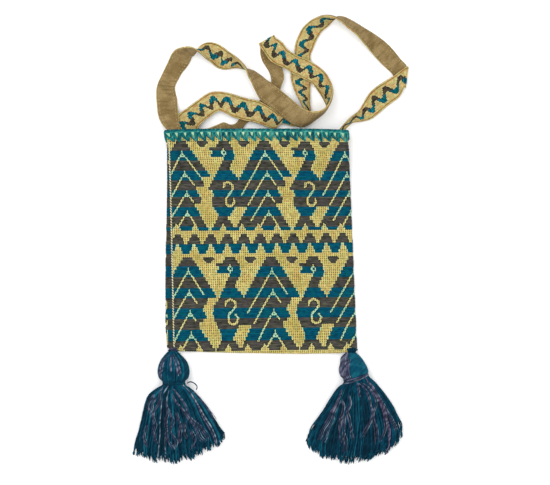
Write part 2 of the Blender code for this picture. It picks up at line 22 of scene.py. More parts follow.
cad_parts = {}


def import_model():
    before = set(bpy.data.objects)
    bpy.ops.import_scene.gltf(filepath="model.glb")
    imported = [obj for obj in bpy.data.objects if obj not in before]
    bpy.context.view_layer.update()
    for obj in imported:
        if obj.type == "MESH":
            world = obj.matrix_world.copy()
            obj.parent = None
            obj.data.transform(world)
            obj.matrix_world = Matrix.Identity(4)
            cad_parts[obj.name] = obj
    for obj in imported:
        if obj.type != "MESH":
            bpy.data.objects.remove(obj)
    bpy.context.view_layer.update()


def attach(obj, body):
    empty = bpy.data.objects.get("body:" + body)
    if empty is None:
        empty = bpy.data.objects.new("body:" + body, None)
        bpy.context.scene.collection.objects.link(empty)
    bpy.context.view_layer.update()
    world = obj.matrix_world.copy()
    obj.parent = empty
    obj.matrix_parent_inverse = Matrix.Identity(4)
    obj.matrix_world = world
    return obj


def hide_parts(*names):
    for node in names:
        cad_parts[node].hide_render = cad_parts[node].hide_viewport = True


LOG = logging.getLogger("woven_bag")

MM = 0.001
GRID_MM = 1.2
GRID = GRID_MM * MM
GRID_X = 260.0
GRID_Y = 241.0
MOUTH_Y = 131.4
# the photograph is exposed past white, so a dye is this much darker than it looks
DYE_SHARE = 0.8
SHEEN_ROUGHNESS = 0.5
COTTON_SPECULAR = 0.035
# shadow where a pattern yarn dives into the ground
DIVE_SHADE = "0c1a16"
# a wave texture of scale 1 shows about this many light and dark lines a metre
LINES_A_SCALE = 6.28
# UV map in ribs or threads, and the layer that marks where floats end
STITCH_MAP = "stitches"
END_LAYER = "float_end"

# rows down the bag: fraction of the way from mouth to bottom, height of the
# underside, thickness at the sides, how far the front swells in the middle
BODY_ROWS = (
    (0.000, 7.6, 9.4, 0.0),
    (0.050, 7.6, 9.4, 0.5),
    (0.104, 6.7, 9.2, 1.5),
    (0.150, 4.2, 8.6, 2.8),
    (0.195, 2.0, 8.0, 4.0),
    (0.247, 0.6, 7.2, 5.4),
    (0.300, 0.0, 6.6, 6.6),
    (0.375, 0.0, 6.0, 7.6),
    (0.450, 0.0, 5.6, 8.2),
    (0.600, 0.0, 5.2, 8.2),
    (0.750, 0.0, 4.8, 7.0),
    (0.880, 0.0, 4.6, 4.2),
    (0.960, 0.0, 4.4, 1.6),
    (1.000, 0.0, 4.4, 0.0),
)
# the cloth's left edge: fraction of the way down, x
LEFT_EDGE = (
    (0.00, 165.5),
    (0.04, 167.0),
    (0.085, 168.0),
    (0.31, 167.6),
    (0.49, 166.6),
    (0.60, 166.1),
    (0.90, 166.0),
    (0.97, 167.0),
    (1.00, 167.6),
)
RIGHT_TOP_X = 347.5
RIGHT_BOTTOM_X = 356.6
# the bottom edge, from left to right: x, y
BOTTOM_EDGE = (
    (167.6, 346.8),
    (172.0, 348.8),
    (180.0, 350.6),
    (232.0, 352.2),
    (300.0, 353.2),
    (338.0, 352.6),
    (351.0, 351.0),
    (356.6, 349.4),
)


def fold(left: tuple, right: tuple, low: float, high: float, outward: tuple) -> list:
    """Five stations round a flat fold, from the lower layer to the upper one.

    Args:
        left: Left edge's grid x and y at the fold.
        right: Right edge's grid x and y.
        low: Height of the layer that comes first.
        high: Height of the other layer.
        outward: Direction on the grid in which the fold bulges.

    Returns:
        Rows of left x, y, height and right x, y, height.
    """
    radius = (high - low) / 2
    middle = (high + low) / 2
    rows = []
    for degrees in (-90, -45, 0, 45, 90):
        angle = math.radians(degrees)
        reach = abs(radius) / GRID_MM * math.cos(angle)
        height = middle + radius * math.sin(angle)
        places = [value + way * reach for edge in (left, right) for value, way in zip(edge, outward)]
        rows.append((*places[:2], height, *places[2:], height))
    return rows


# each row: left edge x, y, height and right edge x, y, height, seen along the
# strap from the mouth's left corner with the lining up
LEFT_RUN = [
    (169.2, 147, 12, 184.6, 147, 12), (169, 139, 12, 184, 139, 12), (168.6, 132, 11.8, 182.4, 132, 11.8),
    (165.2, 127.5, 10.8, 180, 128, 10.8), (162, 123.5, 9.4, 179.3, 123.5, 9.4),
    (159.7, 119, 8.4, 178.8, 118.5, 9), (158, 112, 6.2, 178.2, 112, 7.4),
    (157.2, 105, 3.6, 177.3, 105, 4.6), (156.5, 97, 2, 176.7, 98, 2), (156.5, 91, 1.8, 175.4, 93, 1.8),
    (156.8, 88, 1.8, 174.9, 89, 1.8), (157.2, 86.2, 1.8, 174.9, 87, 1.8), (159, 81, 1.8, 175.8, 84, 1.8),
    (162, 75, 2, 178.6, 78.8, 1.8), (165, 69, 3, 181.6, 73.5, 1.8), (168, 63, 3.5, 185.2, 69, 1.8),
    (169.9, 58.6, 4, 188, 65.3, 1.8), (172, 54.5, 5, 190, 61.5, 1.8), (175, 51.2, 7.5, 191.2, 58.8, 1.8),
    (179.5, 49.6, 12.5, 192, 57, 1.8), (184.5, 48.8, 17.5, 193.2, 56.2, 1.8),
    (190, 48.8, 22, 195, 54.4, 1.8), (196, 51.2, 24, 197.8, 50.6, 1.8), (201, 54.8, 23, 201.3, 46.2, 1.8),
    (205, 58.6, 18.5, 205.6, 43.6, 1.8), (209, 61.8, 12, 211, 42.9, 1.8), (213, 64.6, 5.5, 217, 44.2, 1.8),
    (217, 67.6, 2, 222.8, 47.2, 1.8), (223, 69.4, 1.8, 228.4, 51.4, 5), (229, 69.2, 1.8, 233.2, 55, 12),
    (234, 67.6, 1.8, 237.6, 58.8, 19), (239, 67.4, 1.8, 241.6, 63, 22.5),
    (244, 68.4, 1.8, 245.2, 67.4, 24.5), (249, 69.6, 1.8, 247.6, 72, 24.5),
    (253.4, 70.6, 2.2, 248.8, 75.6, 22), (257.4, 73, 3.2, 250.2, 79, 19.5), (262, 76.2, 5, 252, 82.4, 18),
    (266, 79.6, 7, 254, 87.6, 16.5), (270, 82.4, 8.8, 256.6, 93, 14), (274, 85.6, 10, 259.4, 98.4, 11),
    (279, 89.6, 10.4, 263.4, 101.8, 9.4), (285, 94.4, 10.6, 269.4, 106.2, 8.8),
    (291, 99.6, 11.4, 275.4, 111.2, 8), (297, 104.8, 13, 282, 116.8, 6.9),
    (303, 109.4, 15.5, 288.6, 122.2, 6.4), (307.6, 111.6, 17.6, 294.8, 126, 5.6),
    (311.8, 112.8, 19.4, 301.4, 127.6, 5.2), (316.2, 113, 21.4, 307.8, 125.6, 4),
    (320.8, 112.2, 23, 313.4, 121.6, 2.8), (324.8, 110.4, 24.2, 319.4, 117, 2),
    (327.8, 107.4, 25, 324.6, 112.4, 1.8), (330.4, 102.8, 25, 327.4, 107, 1.8),
    (332.2, 97.4, 23.4, 325, 100.6, 1.8), (332.8, 91, 20, 321.6, 95, 1.8),
    (331.8, 85, 16.5, 318.6, 91, 2.2), (329, 78.4, 12.5, 315.2, 86.6, 3.4),
    (325, 72.6, 9.6, 311.2, 82.6, 4.6), (320, 68.2, 7.6, 307.2, 80.6, 5), (314, 64, 6.6, 303, 78.6, 5),
    (308, 60.2, 6, 298, 76, 5), (302, 58, 5.6, 293.2, 74, 5), (297, 56, 5.6, 288, 70.6, 5),
    (291.6, 52.8, 5.8, 282.6, 67.4, 5.2), (287, 49.4, 6.2, 276.4, 64.8, 5.6),
    (283, 43.8, 6.8, 270.2, 60.6, 6.2), (279.4, 40.8, 7.4, 264.8, 53.4, 7),
]
HAIRPIN = fold((275.6, 38.4), (260.4, 47), 7.8, 1.8, (-0.45, -0.89))
UNDER_RUN = [
    (277, 44, 1.8, 260.4, 51.4, 1.8), (278.6, 51, 1.8, 261, 56.4, 1.8), (280, 58.4, 1.8, 263, 62, 1.8),
    (281.4, 65, 2.2, 266.2, 67, 1.8), (282.8, 71.4, 5.4, 269, 71.8, 1.8),
    (283.6, 77.4, 8, 270.8, 77.4, 1.8), (282.4, 83, 7.2, 271.2, 82.8, 1.8), (280, 89, 4.4, 269.8, 88, 1.8),
    (277.4, 95.6, 2.2, 266.6, 93, 1.8), (273, 102.6, 1.8, 262.2, 97.6, 1.8),
    (267.4, 109.4, 1.8, 257.2, 103, 1.8), (260.2, 115.4, 1.8, 251, 108.4, 1.8),
    (253, 119.8, 1.8, 245.4, 112.8, 1.8), (247.2, 122.6, 1.8, 240.6, 117.2, 1.8),
    (242.8, 128, 1.8, 236, 123.2, 1.8), (237, 135, 1.8, 230.4, 124.6, 1.8), (229, 141, 1.8, 224, 122.6, 3),
    (218, 145.6, 1.8, 216.6, 125.4, 3.2), (206, 149.4, 1.8, 205, 129.4, 2.4),
    (199, 151.8, 1.8, 191, 131, 1.8),
]
MOUTH_FOLD = fold((193.8, 152.6), (173.4, 131.8), 1.8, 4.4, (-0.71, 0.71))
RIGHT_RUN = [
    (194.6, 146, 4.4, 173.4, 127.2, 4.4), (195.6, 138, 4.4, 174.6, 122, 4.4),
    (197.2, 131, 4.5, 176.6, 117.4, 4.3), (199.8, 125.4, 4.6, 180.2, 113.4, 4.6),
    (203.4, 121.8, 4.6, 185, 110.2, 4.6), (208, 118, 4.6, 191, 105.6, 4.6),
    (213, 114.4, 4.6, 197.4, 101, 4.6), (217, 111.8, 4.8, 204, 96.2, 4.6),
    (220, 111.2, 5.2, 211.4, 92.4, 4.8), (221.8, 111.6, 5.4, 219, 92, 4.8), (225, 113, 5, 227, 93, 4.8),
    (231, 116.2, 4.8, 235, 95.2, 4.8), (238, 118.8, 4.8, 243, 97.8, 4.8),
    (246, 120.8, 4.8, 251, 99.6, 4.8), (254, 122.2, 4.8, 259, 101.4, 4.7),
    (261.6, 124.6, 4.6, 266.4, 105.2, 4.7), (268.6, 127.4, 3.2, 273.4, 110, 3.4),
    (275, 128.4, 1.8, 280, 114.8, 2.2), (281.2, 124.2, 1.7, 286, 113.4, 3),
    (287, 124.6, 1.7, 291.8, 113.6, 4.4), (293, 126, 1.7, 297, 114, 6), (299, 124.8, 1.8, 300.6, 112.8, 8),
    (304.4, 121.6, 1.8, 302.6, 111.6, 9.2), (308, 117, 1.8, 303.6, 110, 10),
    (309.8, 112.2, 1.8, 303.2, 107.8, 10), (309.8, 108, 1.8, 301.6, 105, 9.6),
    (309.2, 103, 1.7, 299.6, 101.2, 9), (309.6, 98, 1.6, 297, 97, 8.4), (309.8, 93, 1.5, 294.8, 92.4, 7),
    (310, 88, 1.4, 293, 87.4, 5), (310.4, 83, 1.4, 291.6, 82.4, 2.6), (310.6, 77, 1.4, 290.8, 76.6, 1.5),
    (310.8, 70, 1.4, 291.6, 69.4, 1.4), (310.8, 62, 1.4, 293.6, 61.6, 1.4),
    (310.4, 55.4, 1.4, 294.8, 54.6, 1.4), (312, 50.8, 1.4, 294.8, 50, 1.4),
    (314, 46, 1.4, 295.4, 44.6, 1.4), (316, 41.2, 1.4, 297, 39.4, 1.4), (318.2, 36.8, 1.4, 299.4, 34, 1.4),
    (320.6, 33, 1.4, 302.4, 28.6, 1.4), (323.2, 30.2, 1.4, 306.4, 24, 2.4),
    (326, 27.6, 1.4, 311.2, 20.2, 5.6), (328.6, 25, 1.4, 316.2, 18, 10.4),
    (330.8, 22.4, 1.5, 321.4, 16.6, 15.6), (332.6, 20.4, 1.6, 327.2, 16.4, 20.2),
    (334.8, 18.4, 1.8, 333.4, 17.8, 23.6), (338.4, 16.6, 1.8, 338.6, 20.6, 23),
    (345, 17.4, 1.8, 343.2, 24, 21.4), (351.4, 20.4, 1.8, 347.8, 28.2, 20.4),
    (358, 24.2, 1.8, 352.8, 31.8, 19.6), (364.4, 28.2, 1.8, 358, 36.6, 18), (371, 32, 1.8, 362.4, 42, 15),
    (377.8, 36.4, 1.8, 367.2, 47.6, 11.4), (384, 41, 1.8, 372.4, 53.8, 8), (390, 46.6, 1.8, 378, 60, 5),
    (396, 53.6, 1.8, 384, 66.2, 3), (400.6, 59.4, 1.8, 390.4, 72, 2), (404, 62.8, 1.8, 396.2, 78.6, 1.8),
    (406, 65, 1.8, 401, 84, 1.8),
]
CORNER_FOLD = fold((406.4, 66.8), (403.6, 87.6), 1.8, 4.4, (0.99, 0.13))
END_RUN = [
    (400, 71.4, 4.4, 403, 90, 4.2), (394, 76, 4.2, 401.4, 93.4, 3.4), (388.4, 79.4, 3.2, 399, 97, 2),
    (382.4, 83, 1.6, 394.6, 100.6, 1.4), (376, 87.4, 1.4, 388, 105.4, 1.4),
    (370.4, 92.4, 1.4, 382.6, 110, 1.4), (366, 98.4, 1.6, 376.6, 115, 1.4),
    (362.6, 104.6, 2.4, 371, 119, 1.4), (359, 110.2, 4, 364.4, 121, 1.6), (355, 113.8, 6, 358, 121.8, 2.4),
    (350.4, 117.4, 8, 352.4, 122.6, 4.4), (346, 121.8, 10, 348.4, 125.6, 7),
    (341.6, 126.4, 11.2, 345.4, 129.4, 10), (338, 131.6, 11.4, 343, 133.2, 11.2),
    (336, 139, 11.4, 342.4, 139.4, 11.4), (336, 147, 11.4, 342.4, 147, 11.4),
]
STRAP = tuple(LEFT_RUN + HAIRPIN + UNDER_RUN + MOUTH_FOLD + RIGHT_RUN + CORNER_FOLD + END_RUN)

# tassels, rows from the knot down: left, middle and right point of the row on
# the grid, underside height and thickness
LEFT_TASSEL = (
    ((169.2, 351.1), (172.4, 350.9), (176.6, 351.1), 1.0, 3.4),
    ((164.8, 355.6), (172.8, 355.4), (181.2, 355.6), 0.5, 7.2),
    ((161.0, 361.0), (173.6, 361.0), (186.4, 361.0), 0.3, 17.0),
    ((158.9, 367.0), (174.0, 367.0), (188.8, 367.0), 0.3, 20.5),
    ((158.6, 373.0), (174.0, 373.0), (189.2, 373.0), 0.3, 20.5),
    ((160.2, 378.0), (174.0, 378.0), (187.6, 378.0), 1.0, 17.5),
    ((163.0, 380.6), (174.0, 380.6), (184.8, 380.6), 2.6, 13.6),
    ((163.0, 384.6), (174.0, 384.8), (185.4, 384.4), 2.6, 13.4),
    ((157.6, 387.6), (174.2, 389.4), (190.6, 388.0), 1.0, 14.4),
    ((148.8, 394.0), (174.6, 398.0), (198.6, 395.6), 0.3, 14.4),
    ((144.6, 403.0), (176.0, 410.0), (206.8, 405.6), 0.3, 13.4),
    ((141.0, 418.0), (177.0, 425.0), (215.0, 416.6), 0.3, 12.2),
    ((138.0, 433.0), (178.0, 440.0), (222.0, 427.0), 0.3, 11.0),
    ((135.0, 446.0), (179.0, 452.0), (225.6, 434.0), 0.3, 9.6),
    ((134.2, 451.6), (180.0, 459.0), (226.8, 437.4), 0.3, 8.0),
)
RIGHT_TASSEL = (
    ((346.2, 353.0), (350.8, 352.8), (355.6, 353.0), 1.0, 3.4),
    ((341.2, 357.4), (351.6, 357.2), (360.0, 356.9), 0.5, 7.6),
    ((340.4, 363.6), (352.8, 363.6), (364.0, 362.6), 0.3, 16.4),
    ((339.0, 369.0), (353.4, 368.6), (366.4, 367.0), 0.3, 19.0),
    ((340.4, 375.0), (354.0, 373.6), (367.6, 371.0), 0.9, 18.0),
    ((343.4, 378.6), (355.0, 376.8), (367.2, 373.2), 2.6, 14.6),
    ((343.6, 382.6), (356.0, 380.8), (369.4, 377.0), 2.6, 14.2),
    ((337.6, 387.4), (357.0, 386.4), (376.4, 383.2), 1.0, 14.6),
    ((328.8, 399.6), (357.6, 401.0), (386.8, 396.6), 0.3, 14.2),
    ((319.8, 413.4), (358.0, 418.0), (395.6, 410.6), 0.3, 13.0),
    ((309.6, 427.6), (357.4, 436.0), (400.6, 422.4), 0.3, 11.4),
    ((305.2, 440.6), (355.6, 452.0), (401.6, 434.0), 0.3, 9.6),
    ((306.2, 446.4), (354.0, 460.0), (400.2, 440.6), 0.3, 8.0),
)
# curled yarn end beside the left binding: x, y, height
LOOSE_END = (
    (187.5, 382.7, 9.4),
    (189.8, 381.6, 9.0),
    (192.2, 381.8, 8.4),
    (194.8, 383.2, 7.6),
    (196.8, 385.4, 6.8),
    (197.2, 387.4, 6.2),
    (196.4, 389.4, 5.8),
)


def plan(x: float, y: float, height: float = 0.0) -> tuple[float, float, float]:
    """Point in metres for a grid position and a height in millimetres."""
    return ((x - GRID_X) * GRID, (GRID_Y - y) * GRID, height * MM)


def metres(places: np.ndarray) -> np.ndarray:
    """Metres for an array of grid x, grid y and height in millimetres.

    Args:
        places: Array whose last axis holds x, y and height.

    Returns:
        Array of the same shape in metres.
    """
    out = np.empty(places.shape)
    out[..., 0] = (places[..., 0] - GRID_X) * GRID
    out[..., 1] = (GRID_Y - places[..., 1]) * GRID
    out[..., 2] = places[..., 2] * MM
    return out


def channel(value: float) -> float:
    """One sRGB channel turned linear."""
    return value / 12.92 if value <= 0.04045 else ((value + 0.055) / 1.055) ** 2.4


def linear(colour: str) -> tuple[float, float, float, float]:
    """Linear colour of a dye from the sRGB hex value it shows in the photograph.

    Args:
        colour: Hex digits, such as "c9b765".

    Returns:
        Red, green, blue and an alpha of 1.
    """
    red, green, blue = (DYE_SHARE * channel(int(colour[k : k + 2], 16) / 255) for k in (0, 2, 4))
    return (red, green, blue, 1.0)


def add_node(tree: bpy.types.NodeTree, kind: str, inputs: dict | None = None, **settings) -> bpy.types.Node:
    """Node with its settings, and its sockets set or linked.

    Args:
        tree: Node tree that takes the node.
        kind: Node type, without the ShaderNode prefix.
        inputs: Socket name or number to a value, or to the socket linked to it.
        **settings: Properties of the node.

    Returns:
        The new node.
    """
    node = tree.nodes.new("ShaderNode" + kind)
    for name, value in settings.items():
        setattr(node, name, value)
    for key, value in (inputs or {}).items():
        if isinstance(value, bpy.types.NodeSocket):
            tree.links.new(value, node.inputs[key])
        else:
            node.inputs[key].default_value = value
    return node


class Shading:
    """Material whose colour is laid on in coats over a Principled shader.

    A share is a value or a socket that runs from 0 to 1.
    """

    def __init__(self, name: str, roughness: float, sheen: float) -> None:
        """Start a material with a roughness and a sheen weight."""
        self.material = bpy.data.materials.new(name)
        self.material.use_nodes = True
        self.tree = self.material.node_tree
        self.shader = self.tree.nodes["Principled BSDF"].inputs
        self.shader["Roughness"].default_value = roughness
        self.shader["Sheen Weight"].default_value = sheen
        self.shader["Sheen Roughness"].default_value = SHEEN_ROUGHNESS
        self.shader["Specular IOR Level"].default_value = COTTON_SPECULAR
        self.tone = None

    def calc(self, operation: str, *values) -> bpy.types.NodeSocket:
        """Result of a Math node on values or sockets."""
        return add_node(self.tree, "Math", dict(enumerate(values)), operation=operation).outputs[0]

    def times(self, one, other) -> bpy.types.NodeSocket:
        """Product of two values or sockets."""
        return self.calc("MULTIPLY", one, other)

    def off_middle(self, value) -> bpy.types.NodeSocket:
        """Distance of a value's fraction from one half, times two: 0 mid, 1 at whole numbers."""
        return self.times(self.calc("ABSOLUTE", self.calc("SUBTRACT", self.calc("FRACT", value), 0.5)), 2.0)

    def ramp(self, value, low: float, high: float) -> bpy.types.NodeSocket:
        """Value mapped to 0 at low and 1 at high, smooth and clamped."""
        limits = {0: value, 1: low, 2: high, 3: 0.0, 4: 1.0}
        return add_node(self.tree, "MapRange", limits, interpolation_type="SMOOTHSTEP").outputs[0]

    def vector(self, *parts) -> bpy.types.NodeSocket:
        """Vector of values or sockets."""
        return add_node(self.tree, "CombineXYZ", dict(enumerate(parts))).outputs[0]

    def stitch_place(self) -> list:
        """Sockets for the two directions of a piece's own UV map."""
        place = add_node(self.tree, "UVMap", uv_map=STITCH_MAP).outputs[0]
        return list(add_node(self.tree, "SeparateXYZ", {0: place}).outputs)[:2]

    def noise_at(self, place, scale: float, detail: float) -> bpy.types.NodeSocket:
        """Noise value at a place."""
        waves = {"Vector": place, "Scale": scale, "Detail": detail}
        return add_node(self.tree, "TexNoise", waves).outputs["Fac"]

    def noise(self, per_metre: float, detail: float = 2.0) -> bpy.types.NodeSocket:
        """Noise value in object coordinates, so many waves a metre."""
        return self.noise_at(add_node(self.tree, "TexCoord").outputs["Object"], per_metre, detail)

    def lot(self, value) -> bpy.types.NodeSocket:
        """Random value for the whole number below a socket's value."""
        whole = self.calc("FLOOR", value)
        return add_node(self.tree, "TexWhiteNoise", {"W": whole}, noise_dimensions="1D").outputs[0]

    def float_ends(self) -> bpy.types.NodeSocket:
        """Socket that is 1 where a pattern yarn dives into the ground and 0 away from there."""
        layer = add_node(self.tree, "Attribute", attribute_name=END_LAYER).outputs["Fac"]
        return self.ramp(layer, 0.15, 0.95)

    def blend(self, share, low: tuple, high: tuple) -> None:
        """Set the colour to one between low, where the share is 0, and high."""
        self.tone = add_node(self.tree, "Mix", {0: share, 6: low, 7: high}, data_type="RGBA").outputs[2]

    def coat(self, dye: str, share, most: float = 1.0) -> None:
        """Lay a dye over the colour, by its share of most."""
        self.blend(share if most == 1.0 else self.times(share, most), self.tone, linear(dye))

    def done(self, height=None, strength: float = 0.0, depth: float = 0.0003) -> bpy.types.Material:
        """Link the colour and a bump.

        Args:
            height: Socket of the bump's height, or None for a smooth surface.
            strength: Strength of the bump.
            depth: Depth of the bump in metres.

        Returns:
            The material.
        """
        self.tree.links.new(self.tone, self.shader["Base Color"])
        if height is not None:
            bump = add_node(self.tree, "Bump", {"Strength": strength, "Distance": depth, "Height": height})
            self.tree.links.new(bump.outputs[0], self.shader["Normal"])
        return self.material


class Pick(Enum):
    """What shows at one stitch of the cloth."""

    GROUND = 0
    BLUE = 1
    BROWN = 2
    LINE = 3


@dataclass(frozen=True)
class WarpGround:
    """Handspun cotton, warp-faced plain weave.

    The eye sees close upright ribs, each a slightly different yellow, with a
    small dark gap between ribs at every row; that dark is painted shade, and the
    pale halo round the floats is a painted highlight.
    """

    name: str
    pale: str
    deep: str
    warm: str
    # dark dye of the darker cells, also used for the painted shade in the gaps between ribs
    dark_and_gap_shade: str
    orange: str = "d08c52"
    orange_share: float = 0.3
    green: str = "b9bf72"
    green_share: float = 0.4
    # how deep the painted shade along the gaps between ribs is
    rib_gap_shade: float = 0.16
    # painted highlight: a pale halo round the floats, its dye and its share
    halo_highlight: str = "eeeaa8"
    halo_highlight_share: float = 0.6
    # dashes of painted shade in the gaps between ribs, so many a row
    dashes_a_row: float = 1.5
    # cells of one tone: how many a rib and a row, and how dark the darkest is
    cells: tuple[float, float] = (1.0, 2.0)
    cell_share: float = 0.3

    def make(self) -> bpy.types.Material:
        """Material on the stitch UV map: one unit a rib across, one a row down."""
        look = Shading(self.name, 0.9, 0.04)
        across, down = look.stitch_place()
        look.blend(look.ramp(look.noise(55.0), 0.35, 0.7), linear(self.pale), linear(self.deep))
        look.coat(self.warm, look.lot(across), 0.25)
        streak = look.noise_at(look.vector(across, look.times(down, 0.3)), 0.7, 2.0)
        look.coat(self.orange, look.ramp(streak, 0.5, 0.62), self.orange_share)
        look.coat(self.green, look.ramp(streak, 0.48, 0.36), self.green_share)
        cell = [look.calc("FLOOR", look.times(way, many)) for way, many in zip((across, down), self.cells)]
        lot = add_node(look.tree, "TexWhiteNoise", {"Vector": look.vector(*cell)}, noise_dimensions="2D")
        first, second, third = add_node(look.tree, "SeparateXYZ", {0: lot.outputs["Color"]}).outputs
        look.coat(self.orange, look.ramp(first, 0.6, 1.0), 0.8 * self.orange_share)
        look.coat(self.green, look.ramp(second, 0.6, 1.0), 0.8 * self.green_share)
        look.coat(self.dark_and_gap_shade, look.ramp(third, 0.3, 1.0), self.cell_share)
        fine = look.ramp(look.noise(900.0, 3.0), 0.3, 0.75)
        look.coat(self.deep, fine, 0.3)
        # painted highlight: pale halo where the floats end
        look.coat(self.halo_highlight, look.float_ends(), self.halo_highlight_share)
        # painted shade along the gaps between ribs, darkest in a dash at each row
        edge = look.ramp(look.off_middle(across), 0.35, 0.7)
        look.coat(self.dark_and_gap_shade, edge, self.rib_gap_shade)
        dash = look.off_middle(look.times(down, self.dashes_a_row))
        row = look.calc("SUBTRACT", 1.0, look.ramp(dash, 0.4, 0.7))
        wobble = look.ramp(look.noise(420.0), 0.3, 0.5)
        look.coat(self.dark_and_gap_shade, look.times(look.times(edge, row), wobble), 0.9)
        return look.done(fine, 0.35, 0.0004)


@dataclass(frozen=True)
class PatternWeft:
    """Plied cotton pattern yarn, laid over the ribs in long floats.

    The eye sees flat yarns with a dark line between them, which is painted shade.
    They are drawn two to a row, coarser than real, so that they show.
    """

    name: str
    main: str
    light: str
    dark: str
    tint: str
    yarns_a_row: float = 2.0
    # share of the even colour, of the tint and of the darker yarns
    shares: tuple[float, float, float] = (0.5, 0.35, 0.45)

    def make(self) -> bpy.types.Material:
        """Material on the stitch UV map."""
        look = Shading(self.name, 0.85, 0.0)
        across, down = look.stitch_place()
        yarns = look.times(down, self.yarns_a_row)
        streak = look.noise_at(look.vector(look.times(across, 0.3), yarns), 1.0, 3.0)
        look.blend(look.ramp(streak, 0.3, 0.7), linear(self.dark), linear(self.light))
        even, tint, darker = self.shares
        look.coat(self.main, even)
        look.coat(self.dark, look.lot(yarns), darker)
        # painted shade in the groove between neighbouring yarns
        between_yarns = look.ramp(look.off_middle(yarns), 0.45, 0.95)
        look.coat(self.dark, between_yarns, 0.7)
        look.coat(self.tint, look.ramp(look.noise(230.0), 0.42, 0.62), tint)
        look.coat(DIVE_SHADE, look.float_ends(), 0.85)
        return look.done(look.calc("SUBTRACT", 1.0, between_yarns), 0.5)


@dataclass(frozen=True)
class PlainCotton:
    """Plain-woven cotton cloth in one dye.

    The eye sees a matt surface with faint cross threads, uneven dye and soft
    creases across it, whose shade is painted in as darker streaks. The threads
    are drawn coarser than real, so that they show.
    """

    name: str
    main: str
    light: str
    dark: str
    # threads, and streaks of painted crease shade, for one unit of the stitch map,
    # across and down
    threads: tuple[float, float] = (0.8, 0.7)
    crease_shades: tuple[float, float] = (0.035, 0.3)
    patch_a_metre: float = 70.0

    def make(self) -> bpy.types.Material:
        """Material on the stitch UV map."""
        look = Shading(self.name, 0.92, 0.04)
        ways = look.stitch_place()
        patch = look.ramp(look.noise(self.patch_a_metre, 3.0), 0.35, 0.65)
        look.blend(patch, linear(self.light), linear(self.main))
        # painted shade of soft creases, as darker streaks
        run = look.vector(*(look.times(way, many) for way, many in zip(ways, self.crease_shades)))
        look.coat(self.dark, look.ramp(look.noise_at(run, 1.0, 4.0), 0.48, 0.68), 0.4)
        look.coat(self.dark, look.ramp(look.noise(700.0, 3.0), 0.35, 0.7), 0.35)
        one, other = (look.off_middle(look.times(way, many)) for way, many in zip(ways, self.threads))
        weave = look.times(look.calc("ADD", one, other), 0.5)
        look.coat(self.dark, weave, 0.45)
        return look.done(weave, 0.3)


@dataclass(frozen=True)
class PliedYarn:
    """Loose plied yarn.

    The eye sees soft round strands with slanting ply lines and uneven dye.
    """

    name: str
    main: str
    light: str
    dark: str
    # light and dark lines together in a metre, and the dark ones' share
    lines_a_metre: float = 420.0
    line_share: float = 0.45
    unevenness: float = 2.5
    patch_a_metre: float = 130.0
    slant_degrees: float = 40.0

    def make(self) -> bpy.types.Material:
        """Material in object coordinates: the ply lines run at a slant."""
        look = Shading(self.name, 0.8, 0.03)
        patch = look.ramp(look.noise(self.patch_a_metre), 0.36, 0.64)
        look.blend(patch, linear(self.light), linear(self.main))
        place = add_node(look.tree, "TexCoord").outputs["Object"]
        turn = (0.0, 0.0, math.radians(self.slant_degrees))
        turned = add_node(look.tree, "Mapping", {"Vector": place, "Rotation": turn}).outputs[0]
        scale = self.lines_a_metre / LINES_A_SCALE
        wave = {"Vector": turned, "Scale": scale, "Distortion": self.unevenness, "Detail": 1.0}
        slant = add_node(look.tree, "TexWave", wave).outputs["Fac"]
        look.coat(self.dark, slant, self.line_share)
        return look.done(slant, 0.6)


@dataclass(frozen=True)
class PalePaper:
    """Matt white paper under the bag, which the eye sees as plain white."""

    name: str = "matt_white_paper"
    shades: tuple[float, float] = (0.95, 1.0)

    def make(self) -> bpy.types.Material:
        """Nearly plain white material."""
        look = Shading(self.name, 1.0, 0.0)
        look.blend(look.noise(8.0), *((shade, shade, shade, 1.0) for shade in self.shades))
        return look.done()


def finish_of(finish: object) -> bpy.types.Material:
    """Material of a finish, made once."""
    return bpy.data.materials.get(finish.name) or finish.make()


GROUND = WarpGround("cotton_ground", "e4d88a", "c8ba66", "d4ac64", "3a320c", orange_share=0.35)
LINE_GROUND = WarpGround(
    "cotton_line",
    *("bfe6c4", "8cc6a4", "b4d8a8", "2c5848"),
    orange_share=0.0,
    green_share=0.2,
    rib_gap_shade=0.1,
    halo_highlight="c8ecc8",
    halo_highlight_share=0.3,
)
BLUE_WEFT = PatternWeft(
    "blue_pattern_weft", "004a68", "04688c", "02303e", "045c60", shares=(0.5, 0.5, 0.35)
)
BROWN_WEFT = PatternWeft(
    "brown_pattern_weft", "44483e", "706e5e", "22241c", "4c444a", shares=(0.25, 0.55, 0.6)
)
INNER_GROUND = PlainCotton(
    "cotton_inside", "a5954f", "bcad66", "7c6c34", threads=(3.0, 5.0), crease_shades=(0.2, 0.2)
)
BAND_GROUND = WarpGround(
    "band_cotton",
    *("eede9c", "d4c078", "dab474", "5c4a1c"),
    orange="d89460",
    orange_share=0.85,
    green="c4d08c",
    green_share=0.75,
    rib_gap_shade=0.2,
    cells=(0.5, 0.55),
    cell_share=0.34,
)
